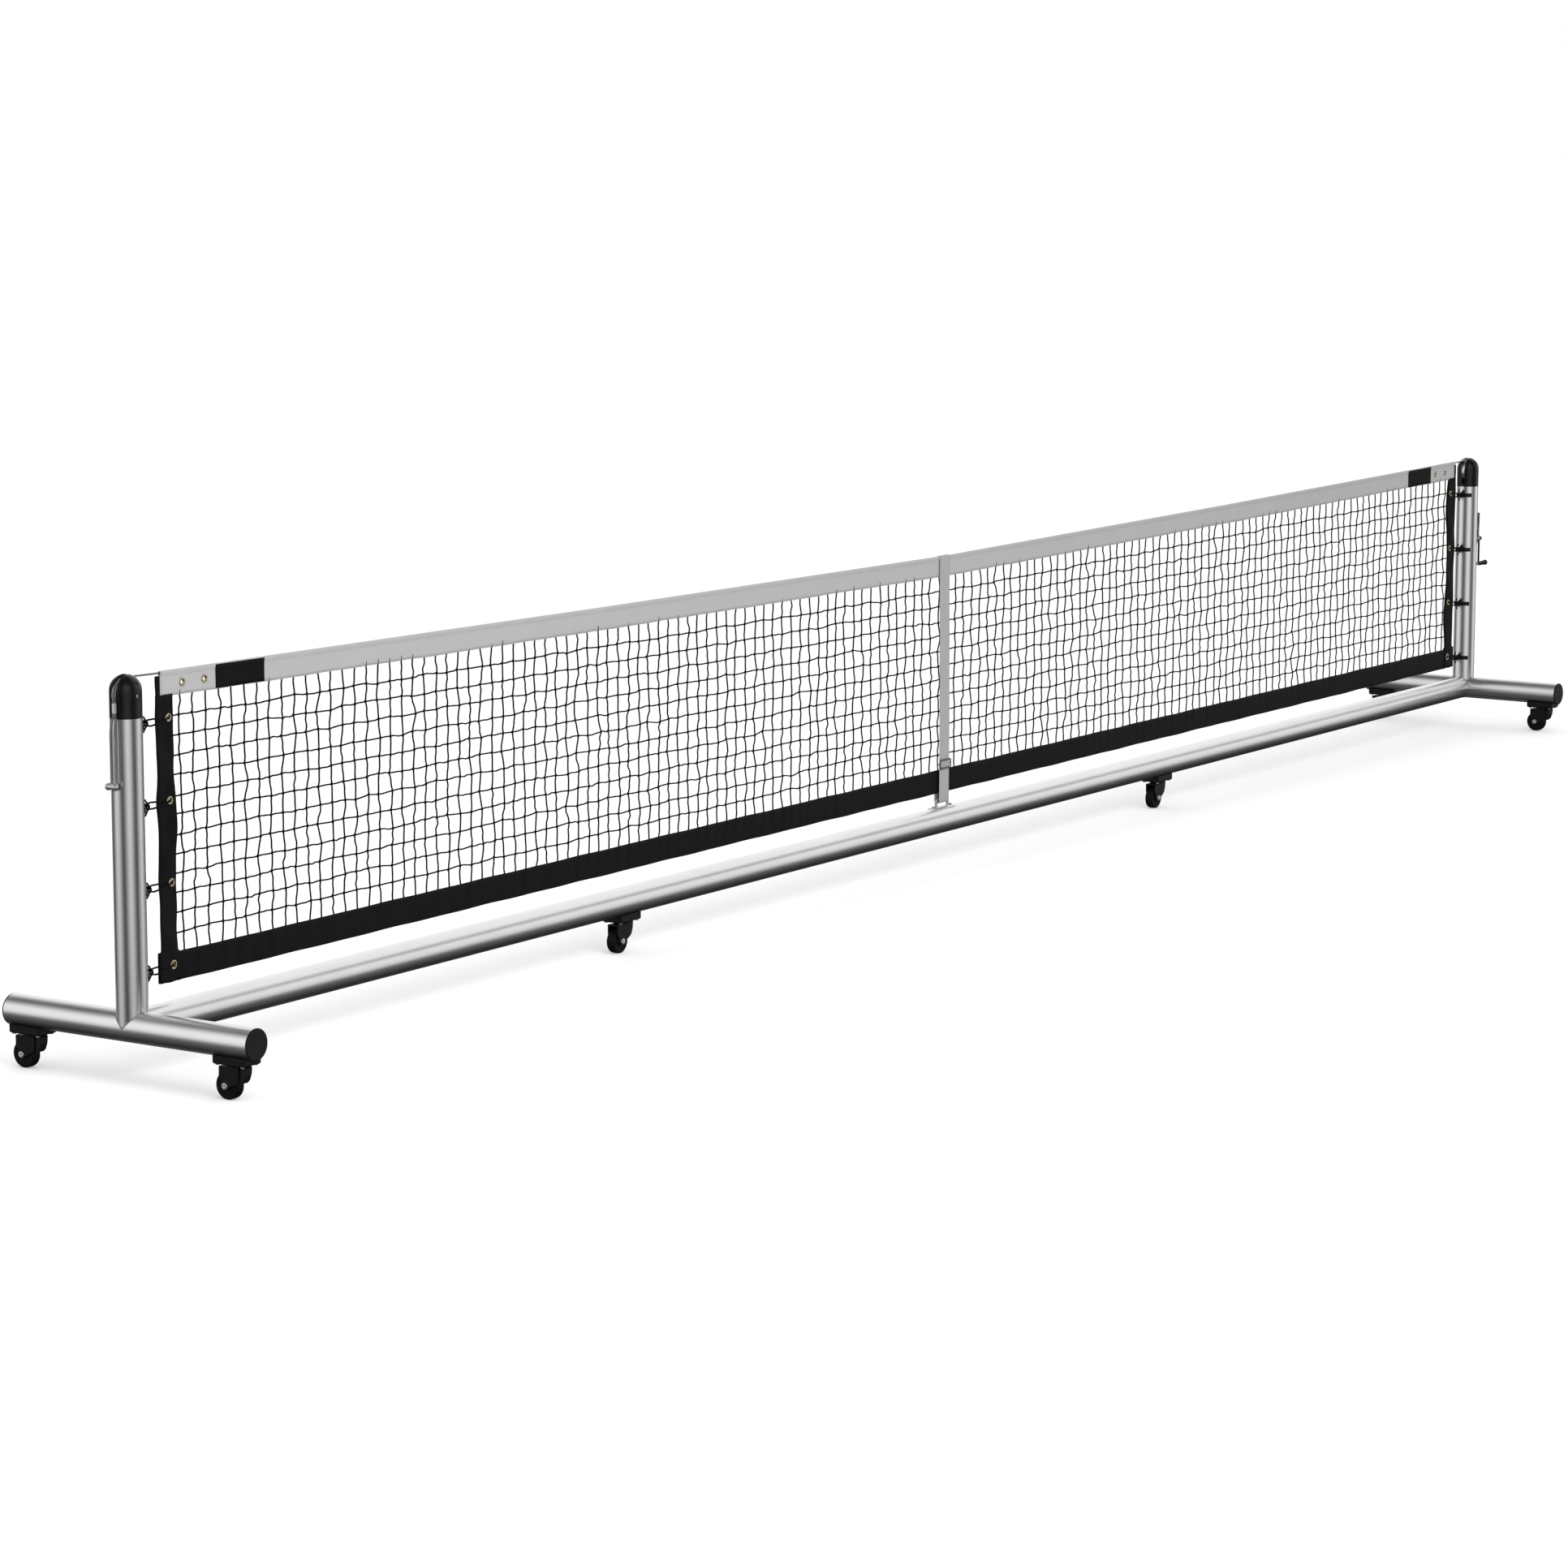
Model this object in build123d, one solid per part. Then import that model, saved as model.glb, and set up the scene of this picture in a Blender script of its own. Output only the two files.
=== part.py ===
from build123d import *
from math import acos, atan2, cos, degrees, hypot, pi, radians, sin, sqrt
import os

# Portable net on wheels for a paddle sport: two posts on wheeled feet, joined by
# a low crossbar, with a net hung on a headline cable that a small winch tightens.
# Millimetres. Origin on the floor under the middle of the net, +X along the net
# towards the winch post, -Y towards the side that shows the strap, +Z up.

# ---- driving dimensions -------------------------------------------------
TUBE_OD = 73.0
TUBE_WALL = 3.0
POST_X = 3440.0
FOOT_TUBE_LENGTH = 708.0
FOOT_CAP_THICK = 4.5
CAP_STEM = 20.0
CAP_STEM_GAP = 0.15
WELD_GAP = 0.05
RUNNING_GAP = 0.06
BODY_GAP = 0.3

WHEEL_D = 63.5
WHEEL_WIDTH = 25.0
CASTER_HEIGHT = 94.0
CASTER_TRAIL = 20.0
FOOT_CASTER_Y = 299.0
CROSSBAR_CASTER_LEFT_X = -1566.0
CROSSBAR_CASTER_RIGHT_X = 1261.0

POST_TOP_Z = 824.0
CAP_DOME_Z = 884.5
CAP_SLOT_WIDTH = 12.0
CAP_SLOT_BOTTOM_Z = 832.0
CAP_PLUG = 30.0

CABLE_R = 2.4
PULLEY_Z = 874.1
PULLEY_CABLE_R = 39.4
PULLEY_RIM_R = 39.6
PULLEY_WIDTH = 10.0
PULLEY_PIN_R = 5.0

NET_TOP_END = 914.4
NET_TOP_MIDDLE = 882.0
HALF_SPAN_SAG = 3.0
HEADBAND_END = 112.0
HEADBAND_HEIGHT = 58.0
HEADBAND_HEM_R = 3.9
HEADBAND_BORE_R = 2.9
BAND_THICK = 3.2
MESH_THICK = 2.0
BOTTOM_BAND_LOW = 209.5
BOTTOM_BAND_HIGH = 275.0
SIDE_BAND_OUTER = 98.5
SIDE_BAND_INNER = 157.0
SIDE_CORNER_OUTER = 92.5
SIDE_CORNER_TOP = 279.5
SIDE_BAND_TOP = 905.0
PATCH_NEAR = 300.0
PATCH_FAR = 470.0
PATCH_THICK = 0.8
PATCH_TOP_DROP = 8.5
PATCH_BOTTOM_DROP = 57.0

GROMMET_R = 10.0
GROMMET_BARREL_R = 6.5
GROMMET_HOLE_R = 5.5
GROMMET_LIP = 0.8
GROMMET_FIT = 0.1
HEADBAND_GROMMETS = (187.0, 263.0)
HEADBAND_GROMMET_DROP = 31.0
SIDE_GROMMET = 138.0
TIE_HEIGHTS = (248.0, 435.0, 621.0, 808.0)
TIE_CORD_R = 1.8

STRAP_WIDTH = 50.0
STRAP_INNER = 6.0
STRAP_OUTER = 8.5
STRAP_BACK_TAIL_Z = 800.0
STRAP_LOW_TAIL_Z = 240.0
ANCHOR_Z = 188.0
ANCHOR_ROD_R = 4.2
ANCHOR_LEG_X = 30.2
ANCHOR_PLATE_HALF_X = 50.0
ANCHOR_PLATE_HALF_Y = 15.0
BUCKLE_Z = 292.0

HOOK_Z = 676.0
HOOK_STEM_R = 6.0
HOOK_BAR_HALF = 17.8

WINCH_AXIS_Y = -9.7
WINCH_AXIS_Z = 638.0
WINCH_SHAFT_R = 4.5
DRUM_HUB_R = 7.0
DRUM_FLANGE_R = 12.5
RATCHET_TEETH = 12
CRANK_REACH = 88.0
GRIP_LENGTH = 53.0

# ---- worked out from them -----------------------------------------------
R = TUBE_OD / 2
R_IN = R - TUBE_WALL
WHEEL_R = WHEEL_D / 2
TUBE_Z = CASTER_HEIGHT + R
SADDLE_R = R + WELD_GAP
PULLEY_GROOVE_R = PULLEY_CABLE_R - CABLE_R - BODY_GAP
QUARTER_X = (POST_X - HEADBAND_END) / 2


# ---- helpers ------------------------------------------------------------
def block(x0, x1, y0, y1, z0, z1):
    centre = ((x0 + x1) / 2, (y0 + y1) / 2, (z0 + z1) / 2)
    return Pos(*centre) * Box(x1 - x0, y1 - y0, z1 - z0)


def rod(start, end, radius):
    run = Vector(*end) - Vector(*start)
    return extrude(Plane(origin=start, z_dir=run) * Circle(radius), run.length)


def pipe(start, end, outer, inner):
    return rod(start, end, outer) - rod(start, end, inner)


def plate_xz(points, y0, y1):
    """A flat plate: its outline in X and Z, its thickness from y0 to y1."""
    face = Plane.XZ * Polygon(*points, align=None)
    return Pos(0, y0, 0) * extrude(face, y1 - y0, dir=(0, 1, 0))


def plate_yz(points, x0, x1):
    """A flat plate: its outline in Y and Z, its thickness from x0 to x1."""
    face = Plane.YZ * Polygon(*points, align=None)
    return Pos(x0, 0, 0) * extrude(face, x1 - x0, dir=(1, 0, 0))


def post_cutter(side, low, high):
    return rod((side * POST_X, 0, low), (side * POST_X, 0, high), SADDLE_R)


def net_top(x):
    """Height of the net's top edge: three straight-ish runs a side, sagging a little."""
    reach = abs(x)
    middle_run = (NET_TOP_END + NET_TOP_MIDDLE) / 2 - HALF_SPAN_SAG
    if reach <= QUARTER_X:
        return NET_TOP_MIDDLE + (middle_run - NET_TOP_MIDDLE) * reach / QUARTER_X
    return middle_run + (NET_TOP_END - middle_run) * (reach - QUARTER_X) / QUARTER_X


def stations(x0, x1):
    """The two ends of a span and the bends of the net's top edge between them."""
    bends = [x for x in (-QUARTER_X, 0.0, QUARTER_X) if x0 < x < x1]
    return [x0, *bends, x1]


def under_top_edge(x0, x1, drop_high, drop_low, y0, y1):
    """A strip that follows the top edge, from drop_high to drop_low below it."""
    along = stations(x0, x1)
    upper = [(x, net_top(x) - drop_high) for x in along]
    lower = [(x, net_top(x) - drop_low) for x in reversed(along)]
    return plate_xz(upper + lower, y0, y1)


# ---- frame tubes ---------------------------------------------------------
def foot_tube(side):
    half = FOOT_TUBE_LENGTH / 2
    x = side * POST_X
    return pipe((x, -half, TUBE_Z), (x, half, TUBE_Z), R, R_IN)


def foot_end_cap(side, end):
    half = FOOT_TUBE_LENGTH / 2
    x = side * POST_X
    face = rod((x, end * half, TUBE_Z), (x, end * (half + FOOT_CAP_THICK), TUBE_Z), R)
    rim = face.edges().sort_by(Axis.Y)[-1 if end > 0 else 0]
    face = fillet(rim, 2.5)
    stem_r = R_IN - CAP_STEM_GAP
    stem = pipe((x, end * (half - CAP_STEM), TUBE_Z), (x, end * half, TUBE_Z), stem_r, stem_r - 3.0)
    return face + stem


def foot_cutter(side):
    reach = FOOT_TUBE_LENGTH / 2
    x = side * POST_X
    return rod((x, -reach, TUBE_Z), (x, reach, TUBE_Z), SADDLE_R)


def post(side):
    x = side * POST_X
    tube = pipe((x, 0, TUBE_Z), (x, 0, POST_TOP_Z), R, R_IN)
    tube -= foot_cutter(side)
    return tube


def crossbar(side):
    tube = pipe((0, 0, TUBE_Z), (side * POST_X, 0, TUBE_Z), R, R_IN)
    tube -= foot_cutter(side)
    tube -= post_cutter(side, TUBE_Z, TUBE_Z + TUBE_OD)
    return tube


SLEEVE_HALF = 200.0
SLEEVE_GAP = 0.3
SCREW_R = 4.0
SCREW_HEAD_R = 6.5
SLEEVE_SCREW_X = (-140.0, -60.0, 60.0, 140.0)
ANCHOR_SCREW_X = (-42.0, 42.0)
ANCHOR_PLATE = 3.0


def screw_hole(x, upright):
    reach = (0, TUBE_OD) if upright else (TUBE_OD, 0)
    return rod((x, 0, TUBE_Z), (x, reach[0], TUBE_Z + reach[1]), SCREW_R + WELD_GAP)


def screw(x, seat):
    """A screw along Y whose head sits at the distance seat from the crossbar's axis."""
    shank = rod((x, R_IN - 8, 0), (x, seat + 0.5, 0), SCREW_R)
    head = rod((x, seat + 0.1, 0), (x, seat + 3.6, 0), SCREW_HEAD_R)
    return shank + fillet(head.edges().sort_by(Axis.Y)[-1], 2.0)


def frame_screws():
    screws = [Pos(0, 0, TUBE_Z) * screw(x, R) for x in SLEEVE_SCREW_X]
    for x in ANCHOR_SCREW_X:
        screws.append(Pos(0, 0, TUBE_Z) * Rot(90, 0, 0) * screw(x, R + ANCHOR_PLATE))
    return screws


def drilled(tube):
    for x in SLEEVE_SCREW_X:
        tube -= screw_hole(x, False)
    for x in ANCHOR_SCREW_X:
        tube -= screw_hole(x, True)
    return tube


def crossbar_sleeve():
    outer = R_IN - SLEEVE_GAP
    return drilled(pipe((-SLEEVE_HALF, 0, TUBE_Z), (SLEEVE_HALF, 0, TUBE_Z), outer, outer - TUBE_WALL))


# ---- post caps and pulleys ------------------------------------------------
def post_cap(side):
    x = side * POST_X
    body = rod((x, 0, POST_TOP_Z), (x, 0, CAP_DOME_Z), R)
    body += Pos(x, 0, CAP_DOME_Z) * Sphere(R)
    half = CAP_SLOT_WIDTH / 2
    body -= block(x - TUBE_OD, x + TUBE_OD, -half, half, CAP_SLOT_BOTTOM_Z, CAP_DOME_Z + TUBE_OD)
    pin_hole = PULLEY_PIN_R + WELD_GAP
    body -= rod((x, -TUBE_OD, PULLEY_Z), (x, TUBE_OD, PULLEY_Z), pin_hole)
    plug_r = R_IN - CAP_STEM_GAP
    body += pipe((x, 0, POST_TOP_Z - CAP_PLUG), (x, 0, POST_TOP_Z), plug_r, plug_r - 3.0)
    return body


PIN_HALF = 34.0


def pulley_pin(side):
    x = side * POST_X
    return rod((x, -PIN_HALF, PULLEY_Z), (x, PIN_HALF, PULLEY_Z), PULLEY_PIN_R)


def pulley(side):
    half = PULLEY_WIDTH / 2
    bore = PULLEY_PIN_R + RUNNING_GAP
    floor_half = CABLE_R + BODY_GAP
    outline = [
        (bore, -half), (13, -half), (15, -2.5), (31, -2.5), (33, -half), (PULLEY_RIM_R, -half),
        (PULLEY_RIM_R, -half + 0.7), (PULLEY_GROOVE_R, -floor_half),
        (PULLEY_GROOVE_R, floor_half), (PULLEY_RIM_R, half - 0.7),
        (PULLEY_RIM_R, half), (33, half), (31, 2.5), (15, 2.5), (13, half), (bore, half),
    ]
    wheel = revolve(Polygon(*outline, align=None), Axis.Y)
    return Pos(side * POST_X, 0, PULLEY_Z) * wheel


# ---- casters --------------------------------------------------------------
BRACKET_LONG = 92.0
BRACKET_SHORT = 62.0
BRACKET_DROP = 12.0
BRACKET_RISE = 7.0
BRACKET_BEVEL = 3.0
RACE_R = 20.5
RACE_DEPTH = 3.0
KINGPIN_R = 5.0
FORK_TOP = CASTER_HEIGHT - BRACKET_DROP - RACE_DEPTH - BODY_GAP
HOOD_TOP = 75.5
HOOD_THICK = 3.5
CHEEK_IN = 13.3
CHEEK_OUT = 16.5
HOOD_FRONT = -18.0
HOOD_BACK = 38.0
CHEEK_KNEE_Z = 42.0
TREAD_SHOULDER = 4.0
AXLE_R = 4.0
AXLE_BOSS_R = 10.5
AXLE_HEAD_R = 7.2
AXLE_HEAD_THICK = 4.0
AXLE_HEAD_ROUND = 2.5
BRAKE_X = -13.0
BRAKE_Z = 62.0
BRAKE_PIN_R = 2.5
BRAKE_HALF = 12.6
BRAKE_TURN = 16.0
BOLT_X = 36.0
BOLT_Y = 22.0

# name: (x, y, direction in which the wheel trails, in degrees from +X)
CASTERS = {
    "front_left": (-POST_X, -FOOT_CASTER_Y, 90.0),
    "rear_left": (-POST_X, FOOT_CASTER_Y, 90.0),
    "mid_left": (CROSSBAR_CASTER_LEFT_X, 0.0, 180.0),
    "mid_right": (CROSSBAR_CASTER_RIGHT_X, 0.0, 180.0),
    "front_right": (POST_X, -FOOT_CASTER_Y, 90.0),
    "rear_right": (POST_X, FOOT_CASTER_Y, 90.0),
}


def placed(name):
    """The caster's own frame: its swivel axis is Z and its wheel trails along X."""
    x, y, heading = CASTERS[name]
    return Pos(x, y, 0) * Rot(0, 0, heading)


def caster_bracket(name):
    """Saddle and top plate, with the tube's round let into the upper side."""
    low = CASTER_HEIGHT - BRACKET_DROP
    half_long = BRACKET_LONG / 2
    half_short = BRACKET_SHORT / 2
    top = CASTER_HEIGHT + BRACKET_RISE
    plate = block(-half_long, half_long, -half_short, half_short, low, top)
    plate = fillet(plate.edges().filter_by(Axis.Z), 6.0)
    plate = chamfer(plate.faces().sort_by(Axis.Z)[0].edges(), BRACKET_BEVEL)
    plate += rod((0, 0, low - RACE_DEPTH), (0, 0, low + 1), RACE_R)
    plate -= rod((-half_long - 1, 0, TUBE_Z), (half_long + 1, 0, TUBE_Z), SADDLE_R)
    plate -= rod((0, 0, 0), (0, 0, CASTER_HEIGHT + R), KINGPIN_R + RUNNING_GAP)
    for px in (-BOLT_X, BOLT_X):
        for py in (-BOLT_Y, BOLT_Y):
            plate -= rod((px, py, low - 1), (px, py, top + 1), 3.0 + WELD_GAP)
    return placed(name) * plate


def caster_bolts(name):
    low = CASTER_HEIGHT - BRACKET_DROP
    bolts = []
    for px in (-BOLT_X, BOLT_X):
        for py in (-BOLT_Y, BOLT_Y):
            shank = rod((px, py, low - 0.1), (px, py, low + 9), 3.0)
            head = extrude(Plane(origin=(px, py, low - 2.9)) * RegularPolygon(4.8, 6), 2.8)
            bolts.append(placed(name) * (shank + head))
    return bolts


def caster_fork():
    """Swivel race, hood and two cheeks down to the axle, with the kingpin on top."""
    neck = rod((0, 0, HOOD_TOP - 1), (0, 0, FORK_TOP), RACE_R)
    kingpin = rod((0, 0, HOOD_TOP), (0, 0, CASTER_HEIGHT - 1.0), KINGPIN_R)
    hood_low = HOOD_TOP - HOOD_THICK
    hood = block(HOOD_FRONT, HOOD_BACK, -CHEEK_OUT, CHEEK_OUT, hood_low, HOOD_TOP)
    fork = hood
    for side in (-1, 1):
        y0, y1 = sorted((side * CHEEK_IN, side * CHEEK_OUT))
        outline = [
            (HOOD_FRONT, HOOD_TOP), (HOOD_BACK, HOOD_TOP), (HOOD_BACK, CHEEK_KNEE_Z + 10),
            (CASTER_TRAIL + AXLE_BOSS_R - 2, WHEEL_R - 3), (CASTER_TRAIL - AXLE_BOSS_R + 2, WHEEL_R - 3),
            (HOOD_FRONT + 6, CHEEK_KNEE_Z - 3), (HOOD_FRONT, CHEEK_KNEE_Z + 5),
        ]
        fork += plate_xz(outline, y0, y1)
        fork += rod((CASTER_TRAIL, y0, WHEEL_R), (CASTER_TRAIL, y1, WHEEL_R), AXLE_BOSS_R)
    fork = fillet(fork.edges().filter_by(Axis.X).group_by(Axis.Z)[-1], 2.5)
    fork += neck + kingpin
    fork += rod((0, 0, hood_low - 3), (0, 0, HOOD_TOP), 8.0)
    fork -= rod((CASTER_TRAIL, -TUBE_OD, WHEEL_R), (CASTER_TRAIL, TUBE_OD, WHEEL_R), AXLE_R + WELD_GAP)
    return fork - brake_rod(TUBE_OD, BRAKE_PIN_R + WELD_GAP)


def caster_axle():
    reach = CHEEK_OUT + 0.1
    axle = rod((CASTER_TRAIL, -reach, WHEEL_R), (CASTER_TRAIL, reach, WHEEL_R), AXLE_R)
    for side in (-1, 1):
        inner = (CASTER_TRAIL, side * reach, WHEEL_R)
        outer = (CASTER_TRAIL, side * (reach + AXLE_HEAD_THICK), WHEEL_R)
        head = rod(inner, outer, AXLE_HEAD_R)
        axle += fillet(head.edges().sort_by(Axis.Y)[-1 if side > 0 else 0], AXLE_HEAD_ROUND)
    return axle


def caster_fork_group(name):
    """The fork with its axle and the brake's pin, three separate solids."""
    brake_pin = brake_rod(CHEEK_OUT - 0.2, BRAKE_PIN_R)
    return [placed(name) * piece for piece in (caster_fork(), caster_axle(), brake_pin)]


def brake_rod(half, radius):
    return rod((BRAKE_X, -half, BRAKE_Z), (BRAKE_X, half, BRAKE_Z), radius)


def brake_pedal(name):
    """A rocker between the cheeks: a pad ahead of the hood and a shoe facing the tread."""
    outline = [
        (BRAKE_X + 3.5, BRAKE_Z + 4), (BRAKE_X - 4, BRAKE_Z + 8), (-20, 71), (-24, 78.5), (-30, 79.5),
        (-33.5, 75), (-32, 60), (-27, 46), (-20, 39), (-14, 39), (BRAKE_X + 4, BRAKE_Z - 6),
    ]
    pedal = plate_xz(outline, -BRAKE_HALF, BRAKE_HALF)
    pressed_tread = rod(
        (CASTER_TRAIL, -TUBE_OD, WHEEL_R), (CASTER_TRAIL, TUBE_OD, WHEEL_R), WHEEL_R + BODY_GAP
    )
    pivot = Axis((BRAKE_X, 0, BRAKE_Z), (0, 1, 0))
    pedal -= pressed_tread.rotate(pivot, BRAKE_TURN)
    pedal -= brake_rod(TUBE_OD, BRAKE_PIN_R + RUNNING_GAP)
    return placed(name) * pedal


def caster_wheel(name):
    half = WHEEL_WIDTH / 2
    bore = AXLE_R + RUNNING_GAP
    side = half - 0.6
    rise = TREAD_SHOULDER * (1 - sin(radians(45)))
    with BuildSketch() as section:
        with BuildLine():
            Polyline(
                (bore, -half), (11, -half), (13, -half + 2.5), (22, -half + 2.5), (24, -side),
                (WHEEL_R - TREAD_SHOULDER, -side),
            )
            ThreePointArc(
                (WHEEL_R - TREAD_SHOULDER, -side), (WHEEL_R - rise, rise - side),
                (WHEEL_R, TREAD_SHOULDER - side),
            )
            Line((WHEEL_R, TREAD_SHOULDER - side), (WHEEL_R, side - TREAD_SHOULDER))
            ThreePointArc(
                (WHEEL_R, side - TREAD_SHOULDER), (WHEEL_R - rise, side - rise),
                (WHEEL_R - TREAD_SHOULDER, side),
            )
            Polyline(
                (WHEEL_R - TREAD_SHOULDER, side), (24, side), (22, half - 2.5), (13, half - 2.5),
                (11, half), (bore, half), (bore, -half),
            )
        make_face()
    wheel = revolve(section.sketch, Axis.Y)
    return placed(name) * (Pos(CASTER_TRAIL, 0, WHEEL_R) * wheel)


# ---- net ------------------------------------------------------------------
def headband():
    """Tape folded over the cable: a round hem with a bore, and a flat skirt below."""
    end = POST_X - HEADBAND_END
    along = stations(-end, end)
    skirt_height = HEADBAND_HEIGHT - HEADBAND_HEM_R
    band = None
    for x0, x1 in zip(along, along[1:]):
        plane = Plane(
            origin=(x0, 0, net_top(x0) - HEADBAND_HEM_R), x_dir=(0, 1, 0), z_dir=(1, 0, 0)
        )
        skirt = Pos(0, -skirt_height / 2) * Rectangle(BAND_THICK, skirt_height)
        section = Circle(HEADBAND_HEM_R) + skirt
        section -= Circle(HEADBAND_BORE_R)
        face = (plane * section).faces()[0]
        span = Solid.extrude(face, Vector(x1 - x0, 0, net_top(x1) - net_top(x0)))
        band = span if band is None else band + span
    for side in (-1, 1):
        for reach in HEADBAND_GROMMETS:
            band -= grommet_hole(*headband_grommet_place(side, reach))
    return band


def headband_grommet_place(side, reach):
    x = side * (POST_X - reach)
    return x, net_top(x) - HEADBAND_GROMMET_DROP


def grommet_hole(x, z):
    return rod((x, -TUBE_OD, z), (x, TUBE_OD, z), GROMMET_BARREL_R + GROMMET_FIT)


def grommet(x, z):
    half = BAND_THICK / 2
    outer = half + GROMMET_LIP
    ring = pipe((x, -outer, z), (x, outer, z), GROMMET_BARREL_R, GROMMET_HOLE_R)
    for side in (-1, 1):
        lip = pipe((x, side * half, z), (x, side * outer, z), GROMMET_R, GROMMET_HOLE_R)
        ring += lip
    return ring


def side_grommet_places(side):
    return [(side * (POST_X - SIDE_GROMMET), z) for z in TIE_HEIGHTS]


def side_band(side):
    """Black tape down the net's end: a wider bottom corner, and a tongue beside the headband's end."""
    outer = side * (POST_X - SIDE_BAND_OUTER)
    corner = side * (POST_X - SIDE_CORNER_OUTER)
    inner = side * (POST_X - SIDE_BAND_INNER)
    head_end = side * (POST_X - HEADBAND_END + 0.5)
    x_end = side * (POST_X - HEADBAND_END)
    outline = [
        (inner, BOTTOM_BAND_LOW), (corner, BOTTOM_BAND_LOW), (corner, SIDE_CORNER_TOP),
        (outer, SIDE_CORNER_TOP), (outer, SIDE_BAND_TOP),
        (head_end, SIDE_BAND_TOP), (head_end, net_top(x_end) - HEADBAND_HEIGHT),
        (inner, net_top(inner) - HEADBAND_HEIGHT),
    ]
    band = plate_xz(outline, -BAND_THICK / 2, BAND_THICK / 2)
    for place in side_grommet_places(side):
        band -= grommet_hole(*place)
    return band


def net_mesh():
    edge = POST_X - SIDE_BAND_INNER
    along = stations(-edge, edge)
    upper = [(x, net_top(x) - HEADBAND_HEIGHT) for x in along]
    outline = upper + [(edge, BOTTOM_BAND_HIGH), (-edge, BOTTOM_BAND_HIGH)]
    return plate_xz(outline, -MESH_THICK / 2, MESH_THICK / 2)


def bottom_band():
    edge = POST_X - SIDE_BAND_INNER
    half = BAND_THICK / 2
    return block(-edge, edge, -half, half, BOTTOM_BAND_LOW, BOTTOM_BAND_HIGH)


def headband_patches():
    half = BAND_THICK / 2
    patches = []
    for side in (-1, 1):
        x0, x1 = sorted((side * (POST_X - PATCH_NEAR), side * (POST_X - PATCH_FAR)))
        for y0, y1 in ((-half - PATCH_THICK, -half), (half, half + PATCH_THICK)):
            patches.append(under_top_edge(x0, x1, PATCH_TOP_DROP, PATCH_BOTTOM_DROP, y0, y1))
    return patches


def band_grommets():
    places = []
    for side in (-1, 1):
        places += [headband_grommet_place(side, reach) for reach in HEADBAND_GROMMETS]
        places += side_grommet_places(side)
    return [grommet(*place) for place in places]


# ---- lacing: eyes on the posts, ties through the side band --------------------
EYE_STRAP_HALF = 28.0
EYE_DROP_LEFT = 6.0
EYE_DROP_RIGHT = 13.0
EYE_STRAP_HEIGHT = 13.0
EYE_STRAP_THICK = 3.0
EYE_BAR_X = 51.5
EYE_BAR_R = 2.4
EYE_HALF = 9.0
TIE_HALF_WIDTH = 5.0
TIE_NEAR_X = 52.0
TIE_FAR_X = 134.0
KNOT_X = 62.0
KNOT_R = 4.4
TAIL_UP = (-9.0, -2.0, 17.0)
TAIL_DOWN = (-11.0, -2.0, -15.0)


def facing_net(side, z):
    """A frame on the post's axis at height z, with +X pointing to the net."""
    return Pos(side * POST_X, 0, z) * Rot(0, 0, 180.0 if side > 0 else 0.0)


def eye_drop(side):
    """How far the eyes sit below the grommets that they are tied to."""
    return EYE_DROP_RIGHT if side > 0 else EYE_DROP_LEFT


def lacing_eye(side, z):
    half = EYE_STRAP_HEIGHT / 2
    strap = pipe((0, 0, -half), (0, 0, half), R + EYE_STRAP_THICK, SADDLE_R)
    strap &= block(0, TUBE_OD, -EYE_STRAP_HALF, EYE_STRAP_HALF, -half, half)
    foot_x = R + 1.5
    eye = rod((EYE_BAR_X, 0, -EYE_HALF), (EYE_BAR_X, 0, EYE_HALF), EYE_BAR_R)
    for end in (-1, 1):
        eye += Pos(EYE_BAR_X, 0, end * EYE_HALF) * Sphere(EYE_BAR_R)
        eye += rod((foot_x, 0, end * (half - EYE_BAR_R)), (EYE_BAR_X, 0, end * EYE_HALF), EYE_BAR_R)
    return facing_net(side, z - eye_drop(side)) * (strap + eye)


def tie_cord(side, z):
    """A cord looped through the grommet and the eye, knotted near the post."""
    width = TIE_HALF_WIDTH
    path = Line((TIE_NEAR_X, -width, 0), (TIE_FAR_X, -width, 0))
    path += ThreePointArc((TIE_FAR_X, -width, 0), (TIE_FAR_X + width, 0, 0), (TIE_FAR_X, width, 0))
    path += Line((TIE_FAR_X, width, 0), (TIE_NEAR_X, width, 0))
    path += ThreePointArc((TIE_NEAR_X, width, 0), (TIE_NEAR_X - width, 0, 0), (TIE_NEAR_X, -width, 0))
    start = Plane(origin=(TIE_NEAR_X, -width, 0), z_dir=(1, 0, 0))
    cord = sweep(start * Circle(TIE_CORD_R), path=path)
    knot = Vector(KNOT_X, -width - 1, 0)
    cord += Pos(knot) * Sphere(KNOT_R)
    for tail in (TAIL_UP, TAIL_DOWN):
        cord += rod(tuple(knot), tuple(knot + Vector(tail)), TIE_CORD_R)
    if side > 0:
        cord = mirror(cord, Plane.XZ)
    slope = degrees(atan2(eye_drop(side), TIE_FAR_X - EYE_BAR_X))
    cord = Rot(0, -slope, 0) * Pos(-EYE_BAR_X, 0, 0) * cord
    return facing_net(side, z - eye_drop(side)) * Pos(EYE_BAR_X, 0, 0) * cord


# ---- headline cable and what holds it ----------------------------------------
LOOP_OUT = 42.6
FERRULE_OUT = 40.7
FERRULE_LOW = 838.0
FERRULE_HIGH = 860.0
DEAD_END_Y = -5.4
LOOP_HALF = HOOK_STEM_R + CABLE_R + 0.2
LOOP_SHOULDER_Z = 800.0
TAIL_END_Z = WINCH_AXIS_Z + 12.0
TAIL_X = 48.0
BEND_R = 60.0


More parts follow.
